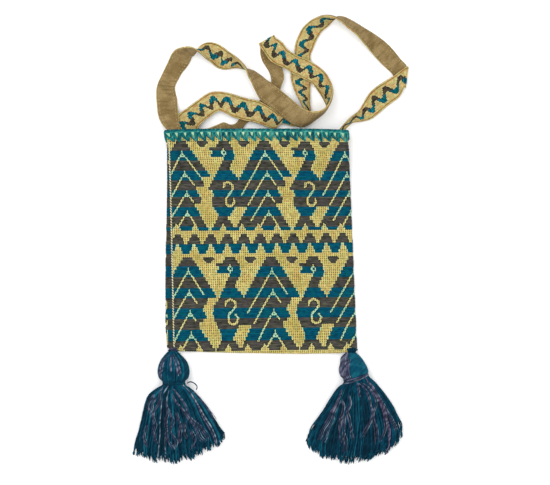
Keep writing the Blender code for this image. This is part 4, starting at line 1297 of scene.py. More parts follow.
@dataclass
class MouthEdging:
    """Blanket stitch of thick yarn round the mouth."""

    pouch: WovenPouch
    pitch: float = 8.3
    first_tooth: float = 9.4
    yarn: float = 0.8
    rim_y: float = 130.0
    shoulder_y: float = 136.0
    tip_y: float = 140.6
    bottom_y: float = 350.0
    # how far the edging hangs at the mouth's two ends
    droop: float = 1.4
    bow: tuple[float, float] = (257.0, 91.0)
    # where each yarn of a tooth crosses the rim and where it ends, both from the
    # tooth's tip
    fan: tuple = ((-5.8, -0.9), (-4.6, -0.5), (-3.6, -0.2), (-0.8, 0.1), (0.4, 0.4), (1.6, 0.8))
    # pale spot above the gap between teeth: place, then half width, y and height
    eye_place: float = -2.2
    eye: tuple = ((1.3, 133.0, 1.45), (1.05, 134.0, 1.5), (0.65, 135.0, 1.45), (0.2, 135.9, 1.35))
    # cords that run round the mouth: y, height and yarn
    cords: tuple = ((129.9, 0.1, DARK), (130.9, 0.9, BLUE), (132.0, 1.15, LIGHT))
    cord_steps: int = 420
    # how far the cords weave down the cloth and out of it
    cord_wave: tuple[float, float] = (0.28, 0.15)
    # radius of the dark bead at each tooth's tip, a painted shadow of the needle hole
    hole_shade_radius: float = 0.55

    def point(self, around: np.ndarray, y: np.ndarray, grow: np.ndarray) -> np.ndarray:
        """Points over the cloth near the mouth, in metres."""
        around, y, grow = np.broadcast_arrays(around, y, grow)
        down = np.clip((y - MOUTH_Y) / (self.bottom_y - MOUTH_Y), 0, 1)
        x, height = self.pouch.around(around, down, grow)
        middle, reach = self.bow
        return metres(np.stack([x, y + self.droop * ((x - middle) / reach) ** 4, height], axis=-1))

    def build(self) -> bpy.types.Object:
        """Make the running cords and the leaning teeth."""
        draw = random.Random(5)
        _, thick, _, left, right = self.pouch.section(np.array([0.0]))
        once = float(2 * (right - left)[0] + math.pi * thick[0] / GRID_MM)
        count = round(once / self.pitch)
        lines = []
        turn = np.linspace(0, once, self.cord_steps, endpoint=False)
        beat = 2 * math.pi * turn / once * count * 2
        for index, (y, grow, number) in enumerate(self.cords):
            wave_y, wave_out = self.cord_wave
            wave = wave_y * np.sin(beat + index * 2.1)
            points = self.point(turn, y + wave, grow + wave_out * np.cos(beat))
            lines.append((np.concatenate([points, points[:1]]), self.yarn * 1.1, number))
        for tooth in range(count):
            start = self.first_tooth + tooth * once / count
            lean = draw.uniform(-0.35, 0.35)
            for top, end in self.fan:
                drop = self.tip_y + draw.uniform(-0.5, 0.4)
                tip = start + end + lean
                inner = start + top
                # from inside the mouth over its rim and down: place, y and height
                route = np.array(
                    [
                        (inner, self.rim_y + 2.6, -2.6),
                        (inner, self.rim_y + 0.4, -2.3),
                        (inner, self.rim_y - 0.5, -0.9),
                        (inner, self.rim_y + 0.5, 0.7),
                        (inner + 0.1, self.shoulder_y - 1.8, 1.15),
                        (inner * 0.93 + tip * 0.07, self.shoulder_y, 1.25),
                        (inner * 0.45 + tip * 0.55, self.shoulder_y * 0.45 + drop * 0.55, 1.1),
                        (tip, drop, 0.35),
                        (tip, drop + 0.5, -0.7),
                    ]
                )
                fine = spline(route, 3)
                radii = np.full(len(fine), self.yarn * draw.uniform(0.9, 1.1))
                number = draw.choice((BLUE, BLUE, LIGHT, DARK))
                lines.append((self.point(*fine.T), radii, number))
            # painted shadow of the needle hole below each tooth's tip
            hole = start + lean + np.linspace(-0.3, 0.4, 3)
            lines.append((self.point(hole, self.tip_y + 0.35, 0.45), self.hole_shade_radius, HOLE_SHADE))
            for half, y, height in self.eye:
                x = start + self.eye_place + lean + np.linspace(-half, half, 3)
                lines.append((self.point(x, y, height), self.yarn * 0.85, PALE))
        edging = strands("mouth_edging_yarn", lines, EDGING_YARNS)
        dress(edging, "bag", "mouth_edging", "mouth_edging")
        return edging


@dataclass
class BagSeams:
    """Hand stitches that close the cloth up the front and along the bottom."""

    pouch: WovenPouch
    side_pitch: float = 3.1
    side_stitch: tuple[float, float, float] = (1.95, 0.85, 0.5)
    side_slant: float = 0.55
    bottom_pitch: float = 2.7
    bottom_stitch: tuple[float, float, float] = (1.3, 0.42, 0.4)
    bottom_slant: tuple[float, float, float] = (0.5, 0.0, 0.87)
    bottom_span: tuple[float, float] = (181.0, 341.0)
    # grid y that counts as the bottom, and the height of the bottom's stitches
    bottom_y: float = 351.0
    bottom_height: float = 2.2

    def side(self) -> bpy.types.Object:
        """Slanted overcast stitches over the closing line of the front."""
        (_, top_y), (_, low_y) = self.pouch.seam_top, self.pouch.seam_bottom
        count = int((low_y - top_y) * GRID_MM / self.side_pitch)
        y = np.linspace(top_y + 0.5, low_y - 1.0, count)
        x = self.pouch.seam_x(y)
        down = (y - MOUTH_Y) / (self.bottom_y - MOUTH_Y)
        left = self.pouch.section(down)[3]
        points, aside = (self.pouch.around(x - left + step, down, 0.5) for step in (0.0, 0.4))
        centres, spots = (metres(np.stack([place[0], y, place[1]], axis=-1)) for place in (points, aside))
        beside = unit(spots - centres)
        slant = unit(np.array([0.0, -1.0, 0.0]) + self.side_slant * beside)
        up = unit(np.cross(beside, np.array([0.0, 1.0, 0.0])))
        up *= np.sign(up[:, 2:])
        frames = self.frames(slant, up)
        seam = stitches("side_seam_stitches", centres, frames, self.side_stitch, SEWING_THREAD)
        dress(seam, "bag", "side_seam", "side_seam")
        return seam

    def bottom(self) -> bpy.types.Object:
        """Whip stitches over the bottom edge."""
        low, high = self.bottom_span
        count = int((high - low) * GRID_MM / self.bottom_pitch)
        x = np.linspace(low, high, count)
        y = np.interp(x, *zip(*BOTTOM_EDGE)) + 0.35
        centres = metres(np.stack([x, y, np.full(count, self.bottom_height)], axis=-1))
        slant, out = (np.tile(way, (count, 1)) for way in (self.bottom_slant, (0.0, -1.0, 0.0)))
        frames = self.frames(slant, out)
        seam = stitches("bottom_seam_stitches", centres, frames, self.bottom_stitch, SEWING_THREAD)
        dress(seam, "bag", "bottom_seam", "bottom_seam")
        return seam

    def frames(self, along: np.ndarray, above: np.ndarray) -> np.ndarray:
        """Direction columns of stitches from the way they run and the way they face."""
        return np.stack([along, unit(np.cross(above, along)), above], axis=-1)


@dataclass
class LinedStrap:
    """Woven band with a zigzag, and its cotton lining in two lengths."""

    stations: tuple = STRAP
    spline_steps: int = 8
    cell: float = 1.2
    ribs: int = 22
    cuts_across: int = 2
    woven_face: float = -1.25
    rib_height: float = 0.22
    float_height: float = 0.5
    rim_height: float = 0.55
    # the band's rim as a share of its width
    rim_share: float = 0.07
    # hidden face, from the right rim to the left: fraction across and height
    hidden: tuple = (
        (1.014, -1.2),
        (1.012, -0.6),
        (0.985, -0.15),
        (0.5, -0.15),
        (0.015, -0.15),
        (-0.012, -0.6),
        (-0.014, -1.2),
    )
    lining_faces: tuple[float, float] = (0.15, 0.95)
    lining_edge: float = 0.02
    lining_width: float = 24.0
    # length of a grid cell of the lining, and cells across it
    lining_cut: float = 1.8
    lining_columns: int = 24
    join_station: int = 11
    join_gap: float = 0.8
    # where the zigzag's blue crests lie along the strap: the first of a run, the
    # distance between them in it, and the share of it at which brown turns back
    crests: tuple = (
        (0.0, 17.8, 0.5),
        (160.0, 15.6, 0.8),
        (175.6, 13.9, 0.85),
        (189.5, 17.3, 0.5),
        (345.6, 14.4, 0.15),
        (360.0, 16.0, 0.3),
        (392.0, 18.3, 0.35),
        (428.5, 14.0, 0.45),
        (442.5, 12.0, 0.4),
        (466.5, 9.5, 0.4),
        (476.0, 18.0, 0.5),
        (673.7, 16.0, 0.5),
        (705.7, 14.7, 0.4),
        (735.1, 19.4, 0.55),
        (793.3, 19.3, 0.5),
        (851.0, 12.5, 0.45),
        (876.0, 15.6, 0.5),
        (922.8, 20.4, 0.45),
        (963.7, 18.3, 0.5),
        (1110.0, 20.0, 0.6),
        (1130.0, 17.5, 0.55),
        (1165.0, 16.8, 0.4),
        (1215.4, 17.0, 0.5),
    )
    # blue woven beside the line: start, end, lowest and highest fraction across
    blue_patch: tuple = (808.5, 819.0, 0.03, 0.5)
    side_swap: float = 655.0
    # how far across blue lies, and how far the line swings from the middle
    blue_side: float = 0.51
    swing: float = 0.18
    bluntness: float = 1.6
    stroke: float = 0.115
    # below this level the line is steep, and so much broader
    steep: tuple[float, float] = (0.9, 1.4)
    # line near each edge, in its own orange-brown, darkened with painted shade where
    # the rim rolls over: its middle and half width across
    edge_line: tuple[float, float] = (0.068, 0.02)
    # the zigzag is stepped in lengths of this many millimetres
    step: float = 1.3
    stitch: tuple[float, float, float] = (1.1, 0.3, 0.24)
    stitch_pitch: float = 4.1
    stitch_inset: float = 0.115
    stitch_sink: float = 0.12
    # the hem and the groove along the stitches, as shares of the width
    hem: float = 0.04
    groove: float = 0.035
    # how deep they are; the groove is deeper by the second number at a stitch
    hem_depth: float = 0.25
    groove_depth: tuple[float, float] = (0.2, 0.15)
    # how high the slack cloth between the stitches rises
    slack: float = 0.2

    def __post_init__(self) -> None:
        """Lay the strap's two edges out at even distances along it."""
        rows = np.array(self.stations, float)
        both = np.concatenate([metres(rows[:, :3]), metres(rows[:, 3:])], axis=1)
        fine = spline(both, self.spline_steps)
        middle = (fine[:, :3] + fine[:, 3:]) / 2
        steps = np.linalg.norm(np.diff(middle, axis=0), axis=1)
        self.distance = np.concatenate([[0.0], np.cumsum(steps)]) / MM
        self.edges = fine
        self.length = float(self.distance[-1])
        self.join = float(self.distance[self.join_station * self.spline_steps])

    def edge(self, line: np.ndarray) -> np.ndarray:
        """Left and right edge in metres at distances along the strap, six columns."""
        return np.stack([np.interp(line, self.distance, self.edges[:, k]) for k in range(6)], axis=-1)

    def frame(self, line: np.ndarray) -> tuple:
        """Edges, heading and normal (towards the lining) at distances along the strap."""
        here = self.edge(line)
        ahead = self.edge(line + 2.0) - self.edge(line - 2.0)
        heading = unit(ahead[:, :3] + ahead[:, 3:])
        return here, heading, unit(np.cross(heading, here[:, :3] - here[:, 3:]))

    def surface(self, line: np.ndarray, across: np.ndarray, offset: np.ndarray) -> np.ndarray:
        """Points over the strap's middle surface.

        Args:
            line: Distances along the strap, n of them.
            across: Fractions from the left edge to the right one, m of them.
            offset: Millimetres towards the lining side, n by m.

        Returns:
            Points in metres, n by m by 3.
        """
        here, _, normal = self.frame(line)
        left, right = here[:, None, :3], here[:, None, 3:]
        share = across[None, :, None]
        return left * (1 - share) + right * share + normal[:, None, :] * offset[..., None] * MM

    def picks(self, line: np.ndarray, across: np.ndarray) -> np.ndarray:
        """Which yarn shows at each cell of the woven face.

        Args:
            line: Distance of each row's middle, n of them.
            across: Fraction of each rib's middle, m of them.

        Returns:
            Values of Pick, n by m.
        """
        places = []
        for (start, pitch, turn), (end, _, _) in zip(self.crests, self.crests[1:]):
            waves = max(round((end - start) / pitch), 1)
            step = (end - start) / waves
            for k in range(waves):
                places += [start + step * k, start + step * (k + turn)]
        stepped = (np.floor(line / self.step) + 0.5) * self.step
        wave = np.interp(stepped, places, np.arange(len(places)) / 2)
        fall = 1 - 4 * np.abs(wave - np.round(wave))
        level = np.clip(self.bluntness * fall, -1, 1)
        limit, broad = self.steep
        broader = np.where(np.abs(self.bluntness * fall) < limit, broad, 1.0)
        centre = np.round((0.5 - self.swing * level) * self.ribs * 2) / self.ribs / 2
        from_blue = np.where((line < self.side_swap)[:, None], across[None], 1 - across[None])
        shown = np.abs(from_blue - centre[:, None]) < (self.stroke * broader)[:, None]
        blue = from_blue < self.blue_side
        start, end, low, high = self.blue_patch
        patch = ((line > start) & (line < end))[:, None] & (across > low) & (across < high)
        shown, blue = shown | patch, blue | patch
        middle, half = self.edge_line
        edge = np.broadcast_to(np.abs(np.minimum(across, 1 - across) - middle) < half, shown.shape)
        ground = np.where(edge, Pick.LINE.value, Pick.GROUND.value)
        return np.where(shown, np.where(blue, Pick.BLUE.value, Pick.BROWN.value), ground)

    def build_band(self) -> bpy.types.Object:
        """Woven band: ribbed face with floats, rolled rims and a plain hidden face."""
        rows = int(self.length / self.cell)
        line = np.linspace(0, self.length, rows + 1)
        columns = self.ribs * self.cuts_across
        share = np.arange(columns + 1) / columns
        cells = self.picks((line[:-1] + line[1:]) / 2, (np.floor(np.arange(columns) / 2) + 0.5) / self.ribs)
        covered, ends = float_edges(cells)
        rib = np.where(np.arange(columns + 1) % self.cuts_across == 0, 0.0, self.rib_height)
        rim = np.clip(1 - np.minimum(share, 1 - share) / self.rim_share, 0, 1) ** 0.5 * self.rim_height
        face = self.woven_face - np.where(covered, self.float_height, rib[None] + rim[None])
        hidden_share, hidden_height = (np.array(column) for column in zip(*self.hidden))
        hidden = np.broadcast_to(hidden_height, (rows + 1, len(hidden_height)))
        across = np.concatenate([share, hidden_share, [0.0]])
        places = self.surface(line, across, np.concatenate([face, hidden, face[:, :1]], axis=1))
        mesh = sheet_grid(places, np.stack(np.meshgrid(across * self.ribs, line / self.cell), axis=-1))
        weave_in(mesh, cells, np.pad(ends, ((0, 0), (0, len(across) - len(share)))))
        close_tube(mesh)
        band = put(mesh, "strap_woven_band", (BAND_GROUND, *BAND_WEFTS, BAND_EDGE_AND_RIM_SHADE))
        dress(band, "bag", "strap_band", "strap_band")
        return band

    def build_lining(self, name: str, node: str, start: float, stop: float) -> list:
        """One length of the lining with its two rows of stitches.

        Args:
            name: Piece name.
            node: CAD node that it stands for.
            start: Distance along the strap where it begins.
            stop: Distance where it ends.

        Returns:
            The lining and its stitches.
        """
        line = np.linspace(start, stop, int((stop - start) / self.lining_cut) + 1)
        low, high = self.lining_faces
        left, right = self.lining_edge, 1 - self.lining_edge
        top = np.linspace(left, right, self.lining_columns + 1)
        near = np.minimum(np.abs(top - self.stitch_inset), np.abs(top - 1 + self.stitch_inset))
        pucker = 0.5 + 0.5 * np.cos(2 * math.pi * line / self.stitch_pitch)
        shallow, more = self.groove_depth
        dip = np.clip(1 - near / self.groove, 0, 1)[None] * (shallow + more * pucker[:, None])
        turned_edge = np.clip(1 - np.minimum(top - left, right - top) / self.hem, 0, 1)
        ripple = np.sin(line / 4.0 + 2.0 * np.sin(line / 13.0)) * np.sin(line / 19.0 + 1.0)
        slack = self.slack * ripple[:, None]
        face = high - dip - self.hem_depth * turned_edge[None] ** 2 + slack * np.sin(math.pi * top)[None]
        across = np.concatenate([top, [right, 0.5, left, left]])
        heights = np.concatenate([face, np.full((len(line), 3), low), face[:, :1]], axis=1)
        marks = np.stack(np.meshgrid(across * self.lining_width, line), axis=-1)
        mesh = sheet_grid(self.surface(line, across, heights), marks)
        close_tube(mesh)
        cloth = put(mesh, name, (LINING_COTTON,))
        dress(cloth, "bag", "strap_lining", node)
        count = int((stop - start - 2.0) / self.stitch_pitch)
        here, heading, normal = self.frame(start + 1.5 + np.arange(count) * self.stitch_pitch)
        centres = [
            here[:, :3] * (1 - share) + here[:, 3:] * share + normal * (high - self.stitch_sink) * MM
            for share in (self.stitch_inset, 1 - self.stitch_inset)
        ]
        frames = np.tile(np.stack([heading, np.cross(normal, heading), normal], axis=-1), (2, 1, 1))
        thread = stitches(name + "_stitches", np.concatenate(centres), frames, self.stitch, LINING_THREAD)
        dress(thread, "bag", "strap_lining")
        return [cloth, thread]

    def build(self) -> None:
        band = self.build_band()
        spans = (
            ("strap_lining_start", "strap_lining_short", 0.0, self.join),
            ("strap_lining_rest", "strap_lining_long", self.join + self.join_gap, self.length),
        )
        for name, node, start, stop in spans:
            cloth, thread = self.build_lining(name, node, start, stop)


LEFT_SKIRT_STREAKS = (
    ((155.0, 392.9), (152.1, 397.1), (149.3, 402.9), (148.6, 407.1), (151.4, 411.4), (151.4, 418.6)),
    ((157.1, 397.1), (152.9, 402.9), (152.1, 411.4)),
    (
        (163.6, 384.3), (160.7, 392.9), (160.0, 401.4), (155.0, 410.0),
        (154.3, 417.1), (155.0, 424.3), (153.0, 434.0),
    ),
    ((148.6, 424.3), (145.7, 432.9), (145.0, 440.0), (147.0, 447.0)),
    ((155.0, 431.4), (155.7, 442.9)),
    ((165.7, 400.0), (167.9, 411.4), (166.4, 420.0), (167.9, 431.4), (168.6, 440.0), (172.9, 448.6)),
    ((169.3, 408.6), (172.9, 420.0), (171.4, 431.4), (175.7, 440.0), (174.3, 448.6)),
    ((177.1, 411.4), (179.3, 422.9), (180.7, 432.9), (180.0, 442.9)),
    (
        (171.4, 385.7), (178.6, 394.3), (185.0, 404.3), (190.0, 415.7),
        (197.1, 422.9), (205.7, 432.9), (210.0, 440.0),
    ),
    (
        (170.7, 389.3), (175.7, 400.0), (182.9, 408.6), (188.6, 417.1),
        (195.7, 425.7), (201.4, 438.6), (205.7, 441.4),
    ),
    ((185.7, 420.0), (184.3, 428.6), (187.1, 438.6)),
    ((191.4, 428.6), (194.3, 440.0), (192.9, 448.6)),
    ((192.9, 388.6), (201.4, 398.6), (208.6, 408.6), (215.7, 418.6)),
)
LEFT_HEAD_STREAKS = (
    ((171.0, 352.4), (165.9, 358.4), (163.0, 367.6), (161.6, 374.6), (162.4, 378.6)),
    ((169.4, 353.4), (164.2, 359.4), (161.2, 366.4), (160.0, 372.6), (161.7, 378.4)),
    ((172.6, 352.6), (177.0, 358.6), (179.4, 366.7), (180.6, 374.7)),
    ((172.0, 352.8), (175.6, 361.4), (177.6, 369.0), (178.4, 376.0)),
    ((171.6, 353.6), (171.2, 361.4), (171.6, 372.4)),
)
RIGHT_SKIRT_STREAKS = (
    ((342.9, 387.1), (338.6, 397.1), (332.9, 408.6), (328.6, 420.0), (322.9, 428.6), (318.6, 440.0)),
    ((340.0, 400.0), (334.3, 410.0), (332.9, 420.0), (325.7, 434.3), (321.4, 442.9)),
    ((341.4, 398.6), (344.3, 405.7), (340.0, 420.0), (340.0, 431.4), (342.9, 445.7)),
    ((344.3, 414.3), (342.9, 425.7), (345.7, 440.0), (344.3, 452.3)),
    ((348.6, 392.9), (350.0, 402.9), (347.1, 411.4), (350.0, 422.9), (352.9, 440.0)),
    ((357.1, 383.4), (358.6, 389.6), (359.3, 397.1)),
    (
        (356.4, 382.1), (362.9, 386.3), (367.1, 392.4), (370.0, 402.9),
        (371.4, 414.3), (367.1, 425.7), (361.4, 437.1),
    ),
    (
        (359.6, 381.7), (367.1, 385.4), (372.9, 393.4), (375.7, 402.9),
        (372.9, 414.3), (375.7, 428.6), (377.1, 442.9),
    ),
    ((365.3, 380.1), (372.9, 388.1), (378.6, 400.0), (384.3, 414.3), (384.3, 428.6), (380.0, 442.9)),
    ((369.1, 381.9), (375.7, 391.9), (384.3, 405.7), (391.4, 420.0), (395.7, 431.4)),
)
RIGHT_HEAD_STREAKS = (
    ((349.0, 358.0), (343.0, 362.0), (341.0, 368.0), (343.4, 376.0)),
    ((350.0, 358.0), (345.6, 362.0), (344.6, 369.0), (346.0, 376.4)),
    ((351.2, 358.0), (349.0, 362.0), (348.6, 369.0), (349.6, 376.0)),
)


@dataclass
class YarnTassel:
    """Tassel of loose plied yarn: knot, round head, wound neck and a spread skirt."""

    side: str
    knot: tuple[float, float]
    rows: tuple
    neck: int
    seed: int
    # greyer strands drawn over the skirt and the head: points on the grid
    skirt_streaks: tuple
    head_streaks: tuple
    # share of the head, from its left, that is grey yarn
    grey_head: float
    binding_grey: bool
    binding_slant: float
    # whether some yarns of the knot and above it are grey
    grey_corner: bool
    # yarn over the bag's corner: left and right x, top and edge y, height
    corner: tuple
    knot_height: float = 2.9
    knot_radius: float = 2.0
    knot_loops: int = 9
    corner_yarns: int = 13
    # radii of the yarns in head and skirt, in the knot, on the corner and round the neck
    yarn: float = 0.74
    knot_yarn: float = 0.62
    sewn_yarn: float = 0.75
    wrap_yarn: float = 0.55
    # the skirt's layers, from the top: how high they lie and how many yarns
    layers: tuple = ((1.0, 58), (0.7, 52), (0.1, 42), (-0.6, 38), (-1.0, 52))
    skirt_steps: int = 22
    # rows past the neck where the skirt's yarns begin and where the head's end
    skirt_start: float = 0.3
    head_end: float = 0.4
    # share of the skirt's yarns whose tone is drawn anew; the others keep the last one
    new_tone: float = 0.8
    # how far across the yarns lie, and by how much each is off its place
    skirt_reach: float = 0.985
    skirt_shift: float = 0.012
    # where they end, in rows past the last one: the middle, the tufts' share and
    # how ragged they are
    tips: tuple[float, float, float] = (0.35, 0.45, 0.55)
    # how thick a yarn is at its very tip
    tip_share: float = 0.45
    # the inside, a tube of the darkest navy yarn that stands for the shade between
    # yarns: rows left out at its ends, its share of the tassel's width and height,
    # and its lowest point
    core_ends: tuple[float, float] = (0.3, 0.6)
    core_share: tuple[float, float] = (0.93, 0.72)
    core_height: float = 0.9
    # how far the wound yarn stands out, and rows from one turn of it to the next
    wrap_grow: float = 0.6
    wrap_pitch: float = 0.2
    # gap that the yarns keep from the floor
    floor_gap: float = 0.05
    head_yarns: int = 104
    head_steps: int = 18
    fine_steps: int = 6
    # the tips run on past the last row by this part of a row
    tip_run: float = 0.6
    # strands of a streak: how far aside, radius and yarn
    streak_strands: tuple = ((0.0, 0.4, GREY), (0.036, 0.3, SILVER), (-0.034, 0.3, GREY))
    # strands on the head are this much thicker than those on the skirt
    head_streak_share: float = 1.45
    # how often each yarn is drawn for the skirt, and each blue one for the head
    skirt_tones: tuple = (31, 44, 22, 2, 1)
    head_tones: tuple = (3, 6, 1)

    def __post_init__(self) -> None:
        """Smooth the section table and add a short run past its end for loose tips."""
        rows = np.array([(*left, *middle, *right, *heights) for left, middle, right, *heights in self.rows])
        tip = rows[-1] + self.tip_run * (rows[-1] - rows[-2])
        tip[6:] = rows[-1][6:]
        self.last = len(rows) - 1
        self.table = np.concatenate([spline(rows, self.fine_steps), tip[None]])
        self.levels = np.append(np.arange(len(self.table) - 1) / self.fine_steps, self.last + self.tip_run)
        self.draw = random.Random(self.seed)

    def at(
        self, level: np.ndarray, side: np.ndarray, lift: np.ndarray, grow: float | np.ndarray = 0.0
    ) -> np.ndarray:
        """Grid points in the tassel.

        Args:
            level: Row number from the knot down.
            side: From -1 at the left edge to 1 at the right one.
            lift: From -1 on the floor side to 1 on top.
            grow: Millimetres out of the surface.

        Returns:
            Grid x, grid y and height in millimetres.
        """
        level, side, lift = np.broadcast_arrays(level, side, lift)
        row = np.stack([np.interp(level, self.levels, self.table[:, k]) for k in range(8)], axis=-1)
        weights = (side * (side - 1) / 2, 1 - side * side, side * (side + 1) / 2)
        x = sum(weight * row[..., 2 * k] for k, weight in enumerate(weights))
        y = sum(weight * row[..., 2 * k + 1] for k, weight in enumerate(weights))
        half = row[..., 7] / 2
        round_share = np.sqrt(np.clip(1 - side * side, 0, 1))
        height = row[..., 6] + half + lift * (half * round_share + grow)
        return np.stack([x + grow / GRID_MM * side * (1 - np.abs(lift) * 0.5), y, height], axis=-1)

    def find(self, points: np.ndarray) -> tuple:
        """Row numbers and sides of grid points, by looking over the whole tassel."""
        level, side = np.meshgrid(np.linspace(0, self.last + self.tip_run, 160), np.linspace(-1, 1, 81))
        spots = self.at(level, side, 0.0)[..., :2].reshape(-1, 2)
        best = [int(np.argmin(np.sum((spots - point) ** 2, axis=1))) for point in points]
        return level.ravel()[best], side.ravel()[best]

    def wander(self, count: int, reach: float) -> np.ndarray:
        """Smooth sideways drift for a line of so many points."""
        share = np.linspace(0, 1, count)
        wave = np.zeros(count)
        for turns in (1.3, 2.7, 5.1):
            wave += np.sin(2 * math.pi * (turns * share + self.draw.random())) / turns
        return wave * reach * np.clip(share * 3, 0, 1)

    def laid(self, points: np.ndarray) -> np.ndarray:
        """A yarn's grid points in metres, kept off the floor."""
        points[:, 2] = np.maximum(points[:, 2], self.yarn + self.floor_gap)
        return metres(points)

    def tone(self) -> int:
        """Yarn of a skirt's strand, at random: mostly one of the three blues."""
        return self.draw.choices(range(len(self.skirt_tones)), weights=self.skirt_tones)[0]

    def skirt(self) -> list:
        """Yarns of the skirt, layer over layer, with ragged tips."""
        lines = []
        start = self.neck + self.skirt_start
        for lift, count in self.layers:
            number = NAVY
            for index in range(count):
                number = self.tone() if self.draw.random() < self.new_tone else number
                side = (2 * (index + 0.5) / count - 1) * self.skirt_reach
                side += self.draw.uniform(-self.skirt_shift, self.skirt_shift)
                tuft = math.sin(side * 23.0 + self.seed) * math.sin(side * 9.0 + 2.0 * self.seed)
                past, tufts, ragged = self.tips
                end = self.last + past + tufts * tuft - abs(self.draw.gauss(0, ragged))
                steps = self.skirt_steps
                level = start + (end - start) * np.linspace(0, 1, steps) ** 0.9
                splay = self.draw.gauss(0, 0.03) * np.linspace(0, 1, steps) ** 4
                sides = np.clip(side + self.wander(steps, 0.022) + splay, -1.04, 1.04)
                lifts = lift - 0.16 * self.draw.random() + self.wander(steps, 0.10)
                points = self.at(level, sides, np.clip(lifts, -1, 1))
                radii = np.full(steps, self.yarn * self.draw.uniform(0.85, 1.15))
                radii[-1] *= self.tip_share
                lines.append((self.laid(points), radii, number))
        return lines

    def head(self) -> list:
        """Yarns of the head, from the knot round to the neck on every side."""
        lines = []
        for index in range(self.head_yarns):
            angle = 2 * math.pi * index / self.head_yarns
            side, lift = math.cos(angle), math.sin(angle)
            level = np.linspace(0.0, self.neck + self.head_end, self.head_steps)
            sides = side + self.wander(self.head_steps, 0.008) * (1 - abs(side))
            points = self.at(level, np.clip(sides, -1, 1), math.copysign(1, lift))
            if (side + 1) / 2 < self.grey_head:
                number = (GREY, NAVY, SILVER, NAVY, GREY)[index % 5]
            else:
                number = self.draw.choices((NAVY, PETROL, TEAL), weights=self.head_tones)[0]
            lines.append((self.laid(points), self.yarn * self.draw.uniform(0.85, 1.1), number))
        return lines

    def streaks(self) -> list:
        """Greyer strands that lie on top."""
        lines = []
        skirt = [(streak, self.neck + self.skirt_start, 1.0) for streak in self.skirt_streaks]
        head = [(streak, 0.0, self.head_streak_share) for streak in self.head_streaks]
        for streak, lowest, broad in skirt + head:
            level, side = self.find(np.array(streak))
            fine = spline(np.stack([np.maximum(level, lowest), side], axis=1), 5)
            drift = self.wander(len(fine), 0.012)
            share = np.linspace(0, 1, len(fine))
            rise = 0.35 - 1.1 * np.clip(1 - np.minimum(share, 1 - share) / 0.08, 0, 1)
            for aside, radius, number in self.streak_strands:
                place = np.clip(fine[:, 1] + drift + aside + self.wander(len(fine), 0.014), -1, 1)
                lines.append((metres(self.at(fine[:, 0], place, 1.0, rise)), radius * broad, number))
        return lines

    def core(self) -> bpy.types.Object:
        """Inside of the tassel in the darkest navy yarn, painted shade that shows only between yarns."""
        turn = np.linspace(0, 2 * math.pi, 25)
        (first, end), (across, high) = self.core_ends, self.core_share
        level, angle = np.meshgrid(np.linspace(first, self.last - end, 40), turn, indexing="ij")
        points = self.at(level, across * np.cos(angle), high * np.sign(np.sin(angle)))
        points[:, -1] = points[:, 0]
        points[..., 2] = np.maximum(points[..., 2], self.core_height)
        mesh = sheet_grid(metres(points), np.stack([angle, level], axis=-1))
        close_tube(mesh)
        piece = put(mesh, f"{self.side}_tassel_core", TASSEL_YARNS[:1])
        dress(piece, f"{self.side}_tassel", "tassel_yarn")
        return piece

    def binding(self) -> bpy.types.Object:
        """Yarn wound round the neck in five turns."""
        lines = []
        turn = np.linspace(0, 2 * math.pi, 40, endpoint=False)
        grey, blue = (NAVY, GREY, PETROL, GREY, SILVER), (NAVY, PETROL, NAVY, PETROL, NAVY)
        numbers = grey if self.binding_grey else blue
        for index, number in enumerate(numbers):
            level = self.neck + 0.05 + self.wrap_pitch * index + self.binding_slant * np.cos(turn)
            wobble = 0.05 * np.sin(2 * turn + index)
            points = self.at(level + wobble, np.cos(turn), np.sign(np.sin(turn)), self.wrap_grow)
            height = np.interp(level, self.levels, self.table[:, 6] + self.table[:, 7] / 2)
            half = np.interp(level, self.levels, self.table[:, 7] / 2) + self.wrap_grow
            points[:, 2] = height + half * np.sin(turn)
            lines.append((metres(points), self.wrap_yarn, number))
        piece = strands(f"{self.side}_tassel_wrap", lines, TASSEL_YARNS, closed=True)
        slot = "grey_yarn" if self.binding_grey else "tassel_yarn"
        dress(piece, f"{self.side}_tassel", slot, f"{self.side}_tassel_binding")
        return piece

    def tie(self) -> bpy.types.Object:
        """Knot of yarn loops on the bag's corner."""
        lines = []
        turn = np.linspace(0, 2 * math.pi, 20, endpoint=False)
        middle = metres(np.array([*self.knot, self.knot_height]))
        for index in range(self.knot_loops):
            lean = math.pi * index / self.knot_loops
            tilt = self.draw.uniform(-0.5, 0.5)
            ring = np.stack([np.cos(turn) * math.cos(lean), np.sin(turn), np.cos(turn) * math.sin(lean)], 1)
            ring[:, 1] += tilt * np.cos(turn) * 0.4
            points = middle + ring * np.array([1.9, 1.0, 1.0]) * self.knot_radius * MM
            lines.append((points, self.knot_yarn, self.corner_tone(index, 4, 0)))
        piece = strands(f"{self.side}_knot", lines, TASSEL_YARNS, closed=True)
        dress(piece, f"{self.side}_tie", "tassel_yarn", f"{self.side}_tie")
        return piece

    def corner_tone(self, index: int, pitch: int, place: int) -> int:
        """Tone of a yarn in the knot or on the corner, where one in each pitch may be grey."""
        grey = self.grey_corner and index % pitch == place
        return GREY if grey else (NAVY, NAVY, PETROL)[index % 3]

